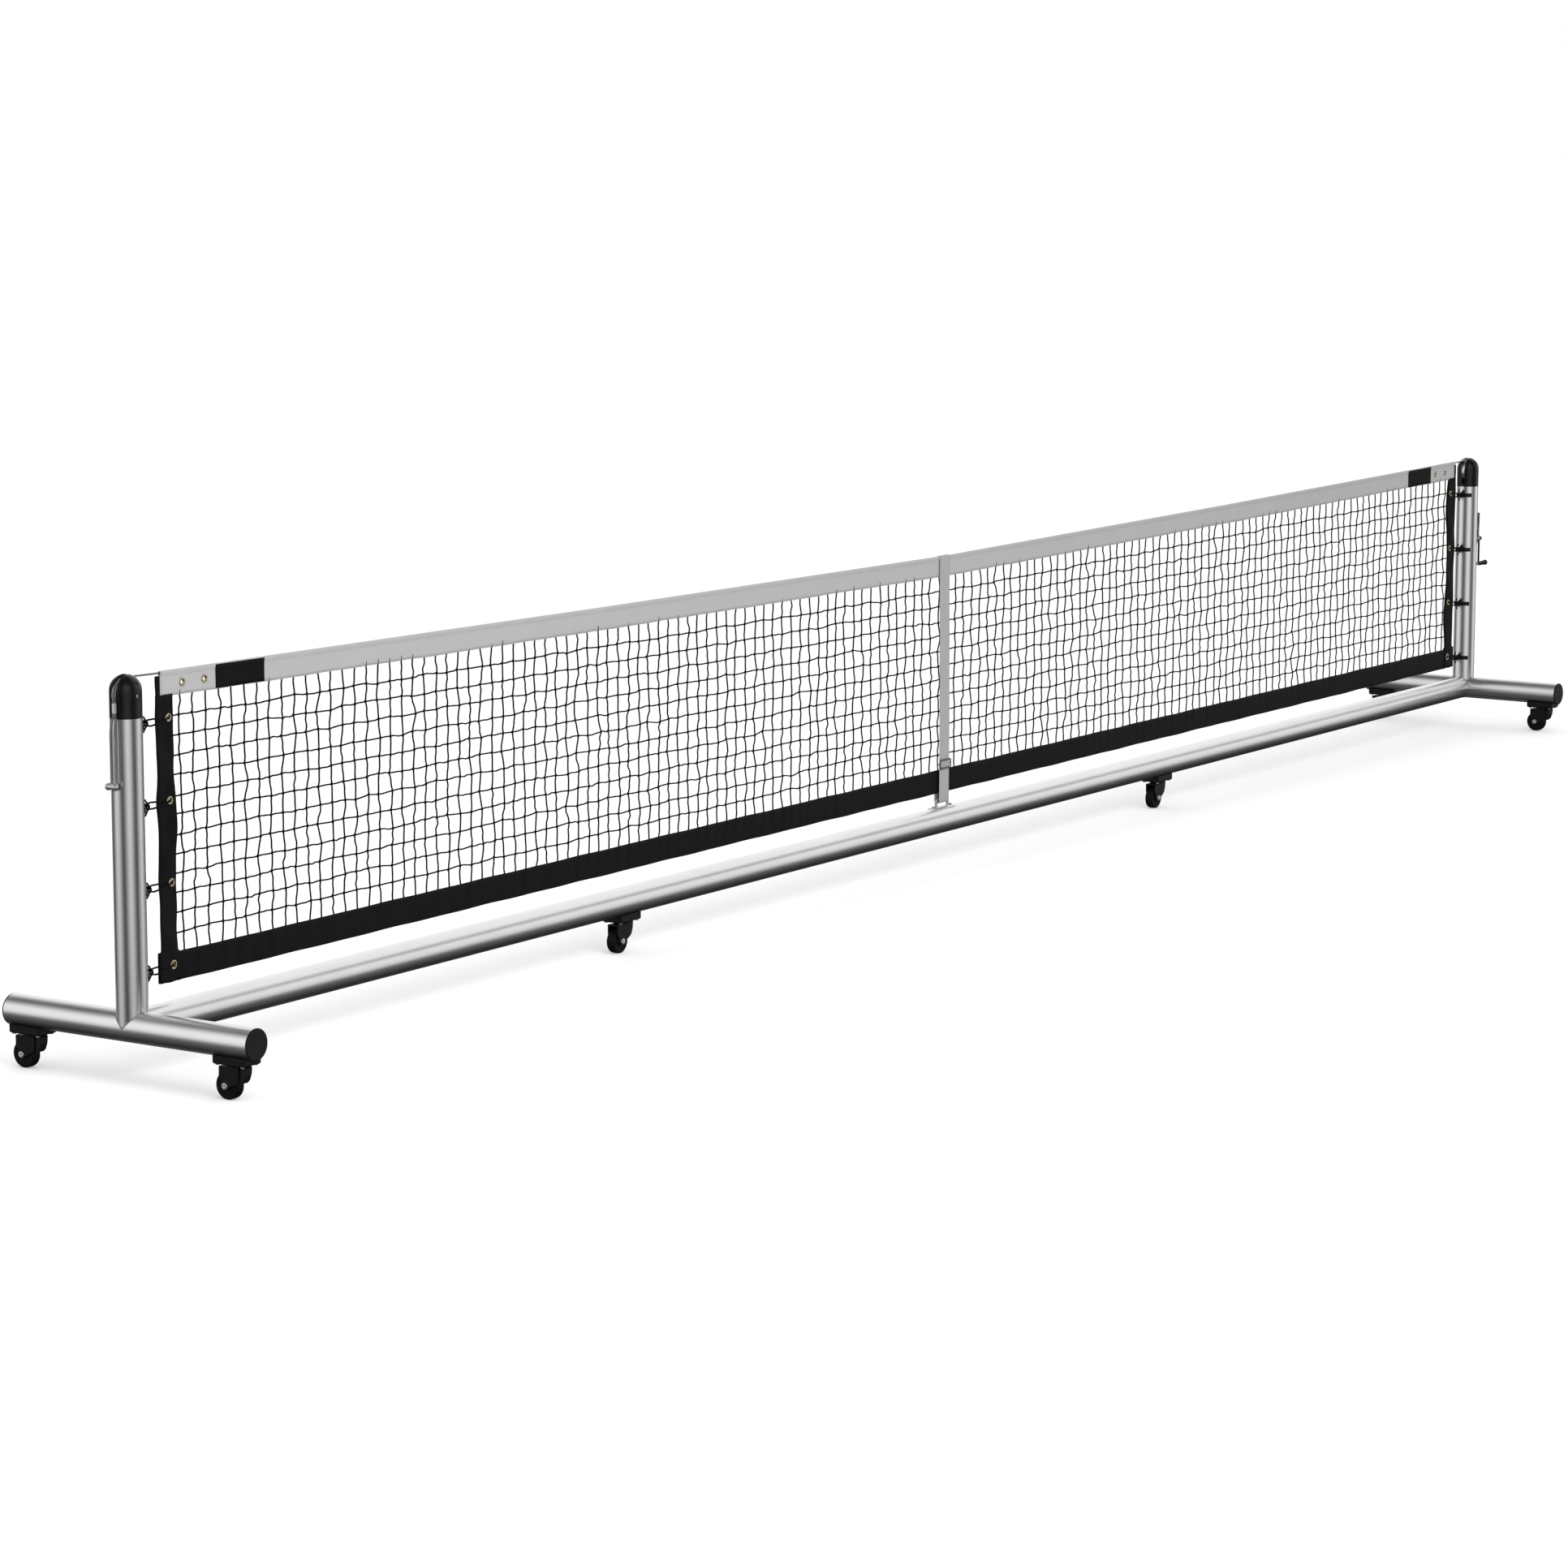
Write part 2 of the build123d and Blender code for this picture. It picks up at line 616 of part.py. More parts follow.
def pulley_corner(side, low_x, low_z, far_x, far_z):
    """Where the cable's two straight runs would meet, so that its bend follows the pulley."""
    reach = hypot(low_x, low_z)
    leaves = 2 * pi + atan2(low_z, low_x) - acos(PULLEY_CABLE_R / reach)
    reach = hypot(far_x, far_z)
    arrives = atan2(far_z, far_x) + acos(PULLEY_CABLE_R / reach)
    middle = (leaves + arrives) / 2
    away = PULLEY_CABLE_R / cos((leaves - arrives) / 2)
    return side * (POST_X - away * cos(middle)), PULLEY_Z + away * sin(middle)


def cable_points():
    """The route from the dead end of the left loop to the drum, with bend radii."""
    left = -POST_X
    right = POST_X
    end = POST_X - HEADBAND_END
    hem = HEADBAND_HEM_R
    entry_x = HEADBAND_END
    entry_z = net_top(end) - hem - PULLEY_Z
    low = HOOK_Z - LOOP_HALF
    left_x, left_z = pulley_corner(-1, -FERRULE_OUT, FERRULE_HIGH - PULLEY_Z, entry_x, entry_z)
    right_x, right_z = pulley_corner(1, -TAIL_X, TAIL_END_Z - PULLEY_Z, entry_x, entry_z)
    route = [
        (left - FERRULE_OUT, DEAD_END_Y, FERRULE_HIGH + 4, None),
        (left - FERRULE_OUT, DEAD_END_Y, FERRULE_LOW - 2, 20.0),
        (left - LOOP_OUT, -LOOP_HALF, LOOP_SHOULDER_Z, BEND_R),
        (left - LOOP_OUT, -LOOP_HALF, low, LOOP_HALF - 0.05),
        (left - LOOP_OUT, LOOP_HALF, low, LOOP_HALF - 0.05),
        (left - LOOP_OUT, LOOP_HALF, LOOP_SHOULDER_Z, BEND_R),
        (left - FERRULE_OUT, 0, FERRULE_LOW - 2, 20.0),
        (left - FERRULE_OUT, 0, FERRULE_HIGH, 20.0),
        (left_x, 0, left_z, PULLEY_CABLE_R),
        (-end, 0, net_top(end) - hem, BEND_R),
        (-QUARTER_X, 0, net_top(QUARTER_X) - hem, BEND_R),
        (0, 0, net_top(0) - hem, BEND_R),
        (QUARTER_X, 0, net_top(QUARTER_X) - hem, BEND_R),
        (end, 0, net_top(end) - hem, BEND_R),
        (right_x, 0, right_z, PULLEY_CABLE_R),
        (right + TAIL_X, 0, TAIL_END_Z, None),
    ]
    return route


def headline_cable():
    route = cable_points()
    points = [row[:3] for row in route]
    radii = [row[3] for row in route if row[3] is not None]
    path = FilletPolyline(*points, radius=radii)
    tube = sweep(Plane(origin=path @ 0, z_dir=path % 0) * Circle(CABLE_R), path=path)
    expected = pi * CABLE_R ** 2 * path.length
    print(f"cable length {path.length:.1f} mm, radii {radii}")
    print(f"cable volume {tube.volume:.0f} of {expected:.0f} mm3")
    return tube


def cable_ferrule():
    x = -POST_X - FERRULE_OUT
    middle = DEAD_END_Y / 2
    plane = Plane(origin=(x, middle, FERRULE_LOW), x_dir=(0, 1, 0), z_dir=(0, 0, 1))
    sleeve = extrude(plane * SlotOverall(2 * 3.4 - DEAD_END_Y, 2 * 3.4), FERRULE_HIGH - FERRULE_LOW)
    for y in (0, DEAD_END_Y):
        sleeve -= rod((x, y, FERRULE_LOW - 1), (x, y, FERRULE_HIGH + 1), CABLE_R + WELD_GAP)
    return sleeve


HOOK_BAR_X = R + 14.5
HOOK_BAR_R = 6.0
HOOK_LOBE_R = 9.0
HOOK_NECK = 9.0


def headline_hook():
    """A stem and a double-lobed cross bar, so that the loop can't slip off."""
    x = -POST_X
    hook = rod((x - R + 2, 0, HOOK_Z), (x - HOOK_BAR_X, 0, HOOK_Z), HOOK_STEM_R)
    hook -= post_cutter(-1, HOOK_Z - TUBE_OD, HOOK_Z + TUBE_OD)
    reach = HOOK_BAR_HALF - HOOK_LOBE_R
    hook += rod((x - HOOK_BAR_X, -reach, HOOK_Z), (x - HOOK_BAR_X, reach, HOOK_Z), HOOK_BAR_R)
    for side in (-1, 1):
        hook += Pos(x - HOOK_BAR_X - 1, side * reach, HOOK_Z) * Sphere(HOOK_LOBE_R - 0.5)
    neck = Pos(x - R, 0, HOOK_Z) * Rot(0, 90, 0) * Cylinder(TUBE_OD, 2 * HOOK_NECK)
    neck -= Pos(x - R, 0, HOOK_Z) * Rot(0, 90, 0) * Cylinder(HOOK_STEM_R, 3 * HOOK_NECK)
    return hook - neck


# ---- centre strap ---------------------------------------------------------------
def strap_ring(z, upper):
    ring = pipe((-STRAP_WIDTH / 2, 0, z), (STRAP_WIDTH / 2, 0, z), STRAP_OUTER, STRAP_INNER)
    z0, z1 = (z, z + TUBE_OD) if upper else (z - TUBE_OD, z)
    return ring & block(-TUBE_OD, TUBE_OD, -TUBE_OD, TUBE_OD, z0, z1)


def centre_strap():
    """Webbing over the headband, down the front and round the anchor's rod."""
    half = STRAP_WIDTH / 2
    fold = NET_TOP_MIDDLE - HEADBAND_HEM_R
    strap = block(-half, half, -STRAP_OUTER, -STRAP_INNER, ANCHOR_Z, fold)
    strap += strap_ring(fold, True)
    strap += strap_ring(ANCHOR_Z, False)
    strap += block(-half, half, STRAP_INNER, STRAP_OUTER, STRAP_BACK_TAIL_Z, fold)
    strap += block(-half, half, STRAP_INNER, STRAP_OUTER, ANCHOR_Z, STRAP_LOW_TAIL_Z)
    return strap


def strap_anchor():
    """A curved plate screwed on the crossbar, with a staple standing on it."""
    half = ANCHOR_PLATE_HALF_X
    plate = pipe((-half, 0, TUBE_Z), (half, 0, TUBE_Z), R + ANCHOR_PLATE, SADDLE_R)
    plate &= block(-half, half, -ANCHOR_PLATE_HALF_Y, ANCHOR_PLATE_HALF_Y, TUBE_Z, TUBE_Z + TUBE_OD)
    staple = rod((-ANCHOR_LEG_X, 0, ANCHOR_Z), (ANCHOR_LEG_X, 0, ANCHOR_Z), ANCHOR_ROD_R)
    for side in (-1, 1):
        x = side * ANCHOR_LEG_X
        staple += Pos(x, 0, ANCHOR_Z) * Sphere(ANCHOR_ROD_R)
        staple += rod((x, 0, TUBE_Z + R + 1), (x, 0, ANCHOR_Z), ANCHOR_ROD_R)
    anchor = plate + staple
    for x in ANCHOR_SCREW_X:
        anchor -= screw_hole(x, True)
    return anchor


BUCKLE_HALF_X = 30.0
BUCKLE_HALF_Z = 13.5
BUCKLE_BAR = 3.5
BUCKLE_FRONT = -12.0
BUCKLE_GAP = 0.5
BUCKLE_BACK = -2.9


def strap_buckle():
    """A wire frame in front of the strap, with a middle bar behind it."""
    y0 = BUCKLE_FRONT
    y1 = -STRAP_OUTER - BUCKLE_GAP
    z0 = BUCKLE_Z - BUCKLE_HALF_Z
    z1 = BUCKLE_Z + BUCKLE_HALF_Z
    frame = block(-BUCKLE_HALF_X, BUCKLE_HALF_X, y0, y1, z0, z1)
    inner_x = STRAP_WIDTH / 2 + BUCKLE_GAP
    inner_z = BUCKLE_HALF_Z - BUCKLE_BAR
    frame = fillet(frame.edges().filter_by(Axis.Y), 3.0)
    frame -= block(-inner_x, inner_x, y0 - 1, y1 + 1, BUCKLE_Z - inner_z, BUCKLE_Z + inner_z)
    bar_low = BUCKLE_Z - BUCKLE_BAR / 2
    bar_high = BUCKLE_Z + BUCKLE_BAR / 2
    for side in (-1, 1):
        x0, x1 = sorted((side * inner_x, side * BUCKLE_HALF_X))
        frame += block(x0, x1, y1 - 1, BUCKLE_BACK, bar_low, bar_high)
    back = -STRAP_INNER + BUCKLE_GAP
    frame += block(-inner_x - 1, inner_x + 1, back, BUCKLE_BACK, bar_low, bar_high)
    return frame


# ---- winch on the right post --------------------------------------------------------
WINCH_Y = (-19.0, 9.0)
WINCH_Z = (612.0, 728.0)
WINCH_BACK = 39.8
WINCH_FRONT = (61.0, 64.0)
WINCH_WEB = 2.8
PAWL_Y = -14.0
PAWL_Z = 668.0
PAWL_PIN_R = 2.5
PAWL_LIFT = 17.0
WINCH_BOLTS = ((-11.0, 716.0), (-5.0, 619.0))
RATCHET_X = (55.3, 59.8)
RATCHET_PHASE = 95.0
RATCHET_ROOT_R = 10.0
ARM_X = (77.0, 84.0)
ARM_BAR_R = 3.4
ARM_HUB_R = 8.0
ARM_BOSS_R = 6.0
GRIP_PIN_R = 3.0
GRIP_HEAD_R = 5.0


def at_winch(x):
    return POST_X + x


def on_shaft_axis(x0, x1, radius):
    return rod(
        (at_winch(x0), WINCH_AXIS_Y, WINCH_AXIS_Z), (at_winch(x1), WINCH_AXIS_Y, WINCH_AXIS_Z), radius
    )


def winch_frame():
    """A channel: saddle on the post, side web and front plate, with the pawl's rivet."""
    y0, y1 = WINCH_Y
    z0, z1 = WINCH_Z
    saddle = block(at_winch(30), at_winch(WINCH_BACK), y0, y1, z0, z1)
    saddle -= post_cutter(1, z0 - 1, z1 + 1)
    outline = [(y0 + 9, z0), (y1, z0), (y1, z1), (y0, z1), (y0 + 1, z0 + 38)]
    front = plate_yz(outline, at_winch(WINCH_FRONT[0]), at_winch(WINCH_FRONT[1]))
    web = block(at_winch(WINCH_BACK - 1), at_winch(WINCH_FRONT[0] + 1), y1 - WINCH_WEB, y1, z0, z1)
    channel = saddle + web + front
    channel -= on_shaft_axis(30, 70, WINCH_SHAFT_R + RUNNING_GAP)
    rivet = rod((at_winch(54.5), PAWL_Y, PAWL_Z), (at_winch(63), PAWL_Y, PAWL_Z), PAWL_PIN_R)
    head = rod((at_winch(63), PAWL_Y, PAWL_Z), (at_winch(65.5), PAWL_Y, PAWL_Z), PAWL_PIN_R + 2)
    channel += rivet + head
    for y, z in WINCH_BOLTS:
        channel -= rod((at_winch(20), y, z), (at_winch(45), y, z), 3.0 + WELD_GAP)
    return channel


def winch_bolts():
    bolts = []
    for y, z in WINCH_BOLTS:
        nearest = max(abs(y) - 3.0, 0)
        surface = sqrt(SADDLE_R ** 2 - nearest ** 2)
        shank = rod((at_winch(surface + 0.4), y, z), (at_winch(WINCH_BACK + 1), y, z), 3.0)
        head = rod((at_winch(WINCH_BACK + 0.1), y, z), (at_winch(WINCH_BACK + 3), y, z), 4.2)
        bolts.append(shank + head)
    return bolts


def winch_shaft():
    shaft = on_shaft_axis(36.9, 92.0, WINCH_SHAFT_R)
    return shaft + on_shaft_axis(64.4, 76.9, 7.0)


def winch_drum():
    drum = on_shaft_axis(41.0, 55.0, DRUM_HUB_R)
    drum += on_shaft_axis(41.0, 43.0, DRUM_FLANGE_R) + on_shaft_axis(53.0, 55.0, DRUM_FLANGE_R)
    return drum - on_shaft_axis(40, 56, WINCH_SHAFT_R + WELD_GAP)


def drum_cable():
    outer = DRUM_HUB_R + 2 * CABLE_R
    wraps = on_shaft_axis(43.2, 52.8, outer)
    return wraps - on_shaft_axis(43, 53, DRUM_HUB_R + WELD_GAP)


def ratchet_wheel():
    step = 360.0 / RATCHET_TEETH
    outline = []
    for tooth in range(RATCHET_TEETH):
        start = RATCHET_PHASE + tooth * step
        for radius, angle in ((DRUM_FLANGE_R, start), (RATCHET_ROOT_R, start + 2.0)):
            y = WINCH_AXIS_Y + radius * cos(radians(angle))
            z = WINCH_AXIS_Z + radius * sin(radians(angle))
            outline.append((y, z))
    wheel = plate_yz(outline, at_winch(RATCHET_X[0]), at_winch(RATCHET_X[1]))
    return wheel - on_shaft_axis(50, 62, WINCH_SHAFT_R + WELD_GAP)


def pawl():
    """Held just clear of the teeth: its nose drops into a tooth gap, its tail is a thumb lever."""
    y = WINCH_AXIS_Y
    z = WINCH_AXIS_Z
    outline = [
        (y - 1.9, z + 10.5), (y - 1.6, z + 13.5), (y + 0.4, z + 28), (y + 0.4, z + 34),
        (y - 3.5, z + 62), (y - 8.0, z + 62), (y - 8.6, z + 34), (y - 8.6, z + 27),
        (y - 4.2, z + 11.8),
    ]
    x0, x1 = RATCHET_X
    lever = plate_yz(outline, at_winch(x0), at_winch(x1))
    lever -= rod(
        (at_winch(50), PAWL_Y, PAWL_Z), (at_winch(62), PAWL_Y, PAWL_Z), PAWL_PIN_R + RUNNING_GAP
    )
    return lever.rotate(Axis((0, PAWL_Y, PAWL_Z), (1, 0, 0)), -PAWL_LIFT)


def grip_rod(x0, x1, radius):
    z = WINCH_AXIS_Z - CRANK_REACH
    return rod((at_winch(x0), WINCH_AXIS_Y, z), (at_winch(x1), WINCH_AXIS_Y, z), radius)


def crank_arm():
    """A round bar from the shaft's hub down to the boss that holds the grip's pin."""
    x0, x1 = ARM_X
    middle = at_winch((x0 + x1) / 2)
    low = WINCH_AXIS_Z - CRANK_REACH
    bar = rod((middle, WINCH_AXIS_Y, low), (middle, WINCH_AXIS_Y, WINCH_AXIS_Z), ARM_BAR_R)
    arm = bar + on_shaft_axis(x0, x1, ARM_HUB_R) + grip_rod(x0, x1, ARM_BOSS_R)
    arm -= on_shaft_axis(x0 - 1, x1 + 1, WINCH_SHAFT_R + WELD_GAP)
    return arm - grip_rod(x0 - 1, x1 + 1, GRIP_PIN_R + WELD_GAP)


def crank_nut():
    plane = Plane(
        origin=(at_winch(ARM_X[1] + 0.1), WINCH_AXIS_Y, WINCH_AXIS_Z), x_dir=(0, 1, 0), z_dir=(1, 0, 0)
    )
    nut = extrude(plane * RegularPolygon(7.5, 6), 6.5)
    return nut - on_shaft_axis(80, 95, WINCH_SHAFT_R + WELD_GAP)


def grip_pin():
    end = ARM_X[1] + BODY_GAP + GRIP_LENGTH
    pin = grip_rod(ARM_X[0], end + 1, GRIP_PIN_R)
    head = grip_rod(end + BODY_GAP, end + 3, GRIP_HEAD_R)
    return pin + fillet(head.edges().sort_by(Axis.X)[-1], 1.5)


def crank_grip():
    bore = GRIP_PIN_R + RUNNING_GAP
    end = GRIP_LENGTH
    with BuildSketch() as section:
        with BuildLine():
            Polyline((0, bore), (0, 5.2), (1.5, 6.6))
            Spline((1.5, 6.6), (18, 6.9), (36, 7.6), (end - 2.0, 9.0))
            Polyline((end - 2.0, 9.0), (end, 7.4), (end, bore), (0, bore))
        make_face()
    grip = revolve(section.sketch, Axis.X)
    start = ARM_X[1] + BODY_GAP
    return Pos(at_winch(start), WINCH_AXIS_Y, WINCH_AXIS_Z - CRANK_REACH) * grip


# ---- write every node -----------------------------------------------------------------
def build_nodes():
    nodes = {
        "foot_tube_left": foot_tube(-1),
        "foot_tube_right": foot_tube(1),
        "foot_end_caps": [foot_end_cap(side, end) for side in (-1, 1) for end in (-1, 1)],
        "post_left": post(-1),
        "post_right": post(1),
        "crossbar_left": drilled(crossbar(-1)),
        "crossbar_right": drilled(crossbar(1)),
        "crossbar_sleeve": crossbar_sleeve(),
        "frame_screws": frame_screws(),
        "post_cap_left": post_cap(-1),
        "post_cap_right": post_cap(1),
        "pulley_pins": [pulley_pin(side) for side in (-1, 1)],
        "pulley_left": pulley(-1),
        "pulley_right": pulley(1),
        "headline_cable": headline_cable(),
        "cable_ferrule": cable_ferrule(),
        "headline_hook": headline_hook(),
        "headband": headband(),
        "headband_patches": headband_patches(),
        "side_bands": [side_band(side) for side in (-1, 1)],
        "net_mesh": net_mesh(),
        "bottom_band": bottom_band(),
        "band_grommets": band_grommets(),
        "lacing_eyes": [lacing_eye(side, z) for side in (-1, 1) for z in TIE_HEIGHTS],
        "tie_cords": [tie_cord(side, z) for side in (-1, 1) for z in TIE_HEIGHTS],
        "centre_strap": centre_strap(),
        "strap_anchor": strap_anchor(),
        "strap_buckle": strap_buckle(),
        "winch_frame": winch_frame(),
        "winch_bolts": winch_bolts(),
        "winch_shaft": winch_shaft(),
        "winch_drum": winch_drum(),
        "ratchet_wheel": ratchet_wheel(),
        "drum_cable": drum_cable(),
        "pawl": pawl(),
        "crank_arm": crank_arm(),
        "crank_nut": crank_nut(),
        "grip_pin": grip_pin(),
        "crank_grip": crank_grip(),
        "caster_brackets": [caster_bracket(name) for name in CASTERS],
        "caster_bolts": [bolt for name in CASTERS for bolt in caster_bolts(name)],
    }
    for name in CASTERS:
        nodes[f"caster_fork_{name}"] = caster_fork_group(name)
        nodes[f"brake_pedal_{name}"] = brake_pedal(name)
        nodes[f"caster_wheel_{name}"] = caster_wheel(name)
    return nodes


os.makedirs("parts", exist_ok=True)
for node_name, shape in build_nodes().items():
    if isinstance(shape, list):
        shape = Compound(children=[solid for piece in shape for solid in piece.solids()])
    export_step(shape, f"parts/{node_name}.step")
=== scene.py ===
import math

import bpy
import numpy as np
from mathutils import Matrix, Vector


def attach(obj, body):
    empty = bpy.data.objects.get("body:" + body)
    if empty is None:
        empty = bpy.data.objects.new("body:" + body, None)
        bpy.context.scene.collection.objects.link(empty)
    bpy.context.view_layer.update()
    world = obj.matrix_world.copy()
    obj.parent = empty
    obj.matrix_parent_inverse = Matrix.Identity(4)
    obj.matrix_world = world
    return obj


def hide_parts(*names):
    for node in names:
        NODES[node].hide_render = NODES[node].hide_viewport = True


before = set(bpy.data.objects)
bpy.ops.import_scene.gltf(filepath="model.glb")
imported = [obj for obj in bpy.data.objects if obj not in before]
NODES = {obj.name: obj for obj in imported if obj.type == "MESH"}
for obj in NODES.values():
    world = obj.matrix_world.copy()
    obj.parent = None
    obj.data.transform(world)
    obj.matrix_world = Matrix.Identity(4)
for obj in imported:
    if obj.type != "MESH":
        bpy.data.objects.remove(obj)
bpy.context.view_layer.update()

RNG = np.random.default_rng(7)

# ---------------------------------------------------------------- sizes, metres
# A reach is a distance from a post's axis towards the middle of the net.
SIDES = ((-1, "left"), (1, "right"))
POST_X = 3.440
TUBE_R, TUBE_Z = 0.0365, 0.1305  # radius of every tube, height of the crossbar's and the feet's axes
PULLEY_Z = 0.8741

# the net's upper edge and its tapes
NET_TOP_END, NET_TOP_MID = 0.9144, 0.882
QUARTER_X = 1.664  # half way out, where the edge hangs a little under the straight line
QUARTER_TOP = (NET_TOP_END + NET_TOP_MID) / 2 - 0.003
HEADBAND_END = POST_X - 0.112
HEADBAND_H = 0.058
BOTTOM_LOW, BOTTOM_HIGH = 0.2095, 0.275
TAPE_THICK = 0.0009

# the mesh: its squares, its cords, and where the outermost one is
PITCH = 0.04445
CORD_R = 0.0020
FIRST_CORD = POST_X - 0.165 - 0.014  # its x at the right end
MESH_ROWS, MESH_PARTS = 13, 4

# ties and grommets
TIE_Z = (0.248, 0.435, 0.621, 0.808)
EYE_DROP = {-1: 0.006, 1: 0.013}  # how far each post's eyes sit under the grommets
SIDE_GROMMET_REACH = 0.138
HEAD_GROMMET_REACHES, HEAD_GROMMET_DROP = (0.187, 0.263), 0.031
HOLE_R = 0.0064

# doubled bottom corners, patches and thread
CORNER_REACH, CORNER_W, CORNER_H = 0.0925, 0.065, 0.070
CORNER_Y = 0.0031
PATCH_REACH, PATCH_W, PATCH_H = 0.300, 0.170, 0.0545
PATCH_DROP = 0.0565  # from the net's upper edge to the patch's lower one
THREAD_R = 0.00034
STITCH_PITCH, STITCH_LONG = 0.0062, 0.0038


def net_top(x):
    """Height of the net's top edge."""
    return float(np.interp(abs(x), [0, QUARTER_X, HEADBAND_END], [NET_TOP_MID, QUARTER_TOP, NET_TOP_END]))


# ---------------------------------------------------------------- camera, light
CAMERA_AT = (-11.0597, -6.7654, 2.2363)
CAMERA_ANGLES = (33.364, 8.963, 0.04)  # yaw, pitch down, roll
CAMERA_SHIFT = (-0.0034, 0.0089)
CAMERA_LENS, CAMERA_SENSOR = 106.22, 36.0
CAMERA_FAR = 300.0
FLOOR_HALF, FLOOR_WHITE, FLOOR_LIFT = 90.0, 0.85, 0.24
KEY_AT, KEY_AIM, KEY_SIZE, KEY_WATTS = (-4.5, -6.0, 5.5), (4.0, 6.0, -5.0), 5.0, 260.0


def make_camera():
    """The photograph's view, solved by least squares."""
    yaw, pitch, roll = (math.radians(a) for a in CAMERA_ANGLES)
    look = Vector((math.cos(yaw) * math.cos(pitch), math.sin(yaw) * math.cos(pitch), -math.sin(pitch)))
    data = bpy.data.cameras.new("camera")
    camera = bpy.data.objects.new("camera", data)
    bpy.context.scene.collection.objects.link(camera)
    camera.location = CAMERA_AT
    turn = look.to_track_quat("-Z", "Y").to_matrix() @ Matrix.Rotation(roll, 3, "Z")
    camera.rotation_euler = turn.to_euler()
    data.sensor_width = CAMERA_SENSOR
    data.lens = CAMERA_LENS
    data.shift_x, data.shift_y = CAMERA_SHIFT
    data.clip_end = CAMERA_FAR
    bpy.context.scene.camera = camera


class Tree:
    """Small helpers to write a node tree in few lines."""

    def __init__(self, tree):
        self.tree = tree
        tree.nodes.clear()

    def add(self, kind, inputs=None, **settings):
        node = self.tree.nodes.new(kind)
        for key, value in settings.items():
            setattr(node, key, value)
        for key, value in (inputs or {}).items():
            self.put(node.inputs[key], value)
        return node

    def put(self, socket, value):
        if isinstance(value, bpy.types.NodeSocket):
            self.tree.links.new(value, socket)
        else:
            socket.default_value = value

    def math(self, kind, a, b=0.0, c=0.5):
        return self.add("ShaderNodeMath", {0: a, 1: b, 2: c}, operation=kind).outputs[0]

    def ramp(self, value, stops, smooth=True):
        node = self.add("ShaderNodeValToRGB", {"Fac": value})
        node.color_ramp.interpolation = "EASE" if smooth else "LINEAR"
        elements = node.color_ramp.elements
        while len(elements) < len(stops):
            elements.new(0.5)
        for element, (at, level) in zip(elements, stops):
            element.position = at
            element.color = (*level, 1) if isinstance(level, tuple) else (level, level, level, 1)
        return node.outputs[0]

    def mix(self, fac, a, b):
        """A number between a and b."""
        node = self.add("ShaderNodeMix", data_type="FLOAT")
        wanted = {"Factor_Float": fac, "A_Float": a, "B_Float": b}
        for socket in node.inputs:
            if socket.identifier in wanted:
                self.put(socket, wanted[socket.identifier])
        return next(s for s in node.outputs if s.identifier == "Result_Float")


def make_world():
    """Soft white light; what polished metal sees of the room is softboxes with dark gaps between them."""
    world = bpy.data.worlds.new("studio")
    bpy.context.scene.world = world
    world.use_nodes = True
    t = Tree(world.node_tree)
    way = t.add("ShaderNodeSeparateXYZ", {0: t.add("ShaderNodeTexCoord").outputs["Generated"]})
    x, y, z = way.outputs
    # four upright softboxes round the object
    turn = t.math("ARCTAN2", y, x)
    wave = t.math("COSINE", t.math("SUBTRACT", t.math("MULTIPLY", turn, 4.0), math.radians(198.4)))
    boxes = t.math("MULTIPLY_ADD", wave, 0.49, 0.61)
    level = t.math("MULTIPLY_ADD", z, 0.5, 0.5)
    height = t.ramp(level, [
        (0.0, 0.07), (0.30, 0.08), (0.36, 0.18), (0.42, 0.56), (0.49, 0.90),
        (0.73, 0.99), (0.83, 0.68), (0.915, 0.2), (1.0, 0.2),
    ])
    room = t.math("MULTIPLY", boxes, height)
    # beyond the far end, what the crossbar mirrors: a ceiling of light with one dark gap
    behind = t.ramp(x, [(0.3, 0.0), (0.7, 1.0)])
    high = t.ramp(level, [(0.43, 0.0), (0.52, 1.0)])
    slope = t.math("DIVIDE", t.math("ARCTAN2", z, t.math("MULTIPLY", y, -1.0)), math.pi)
    strip = t.ramp(slope, [(0.0, 0.78), (0.17, 0.95), (0.245, 0.3), (0.295, 0.3), (0.37, 1.0)])
    room = t.mix(t.math("MULTIPLY", behind, high), room, strip)
    # only reflections see the room; everything else sees an even white
    path = t.add("ShaderNodeLightPath")
    light = t.mix(path.outputs["Is Glossy Ray"], 0.93, room)
    light = t.mix(path.outputs["Is Camera Ray"], light, 1.0)
    out = t.add("ShaderNodeOutputWorld")
    t.put(out.inputs[0], t.add("ShaderNodeBackground", {0: light}).outputs[0])


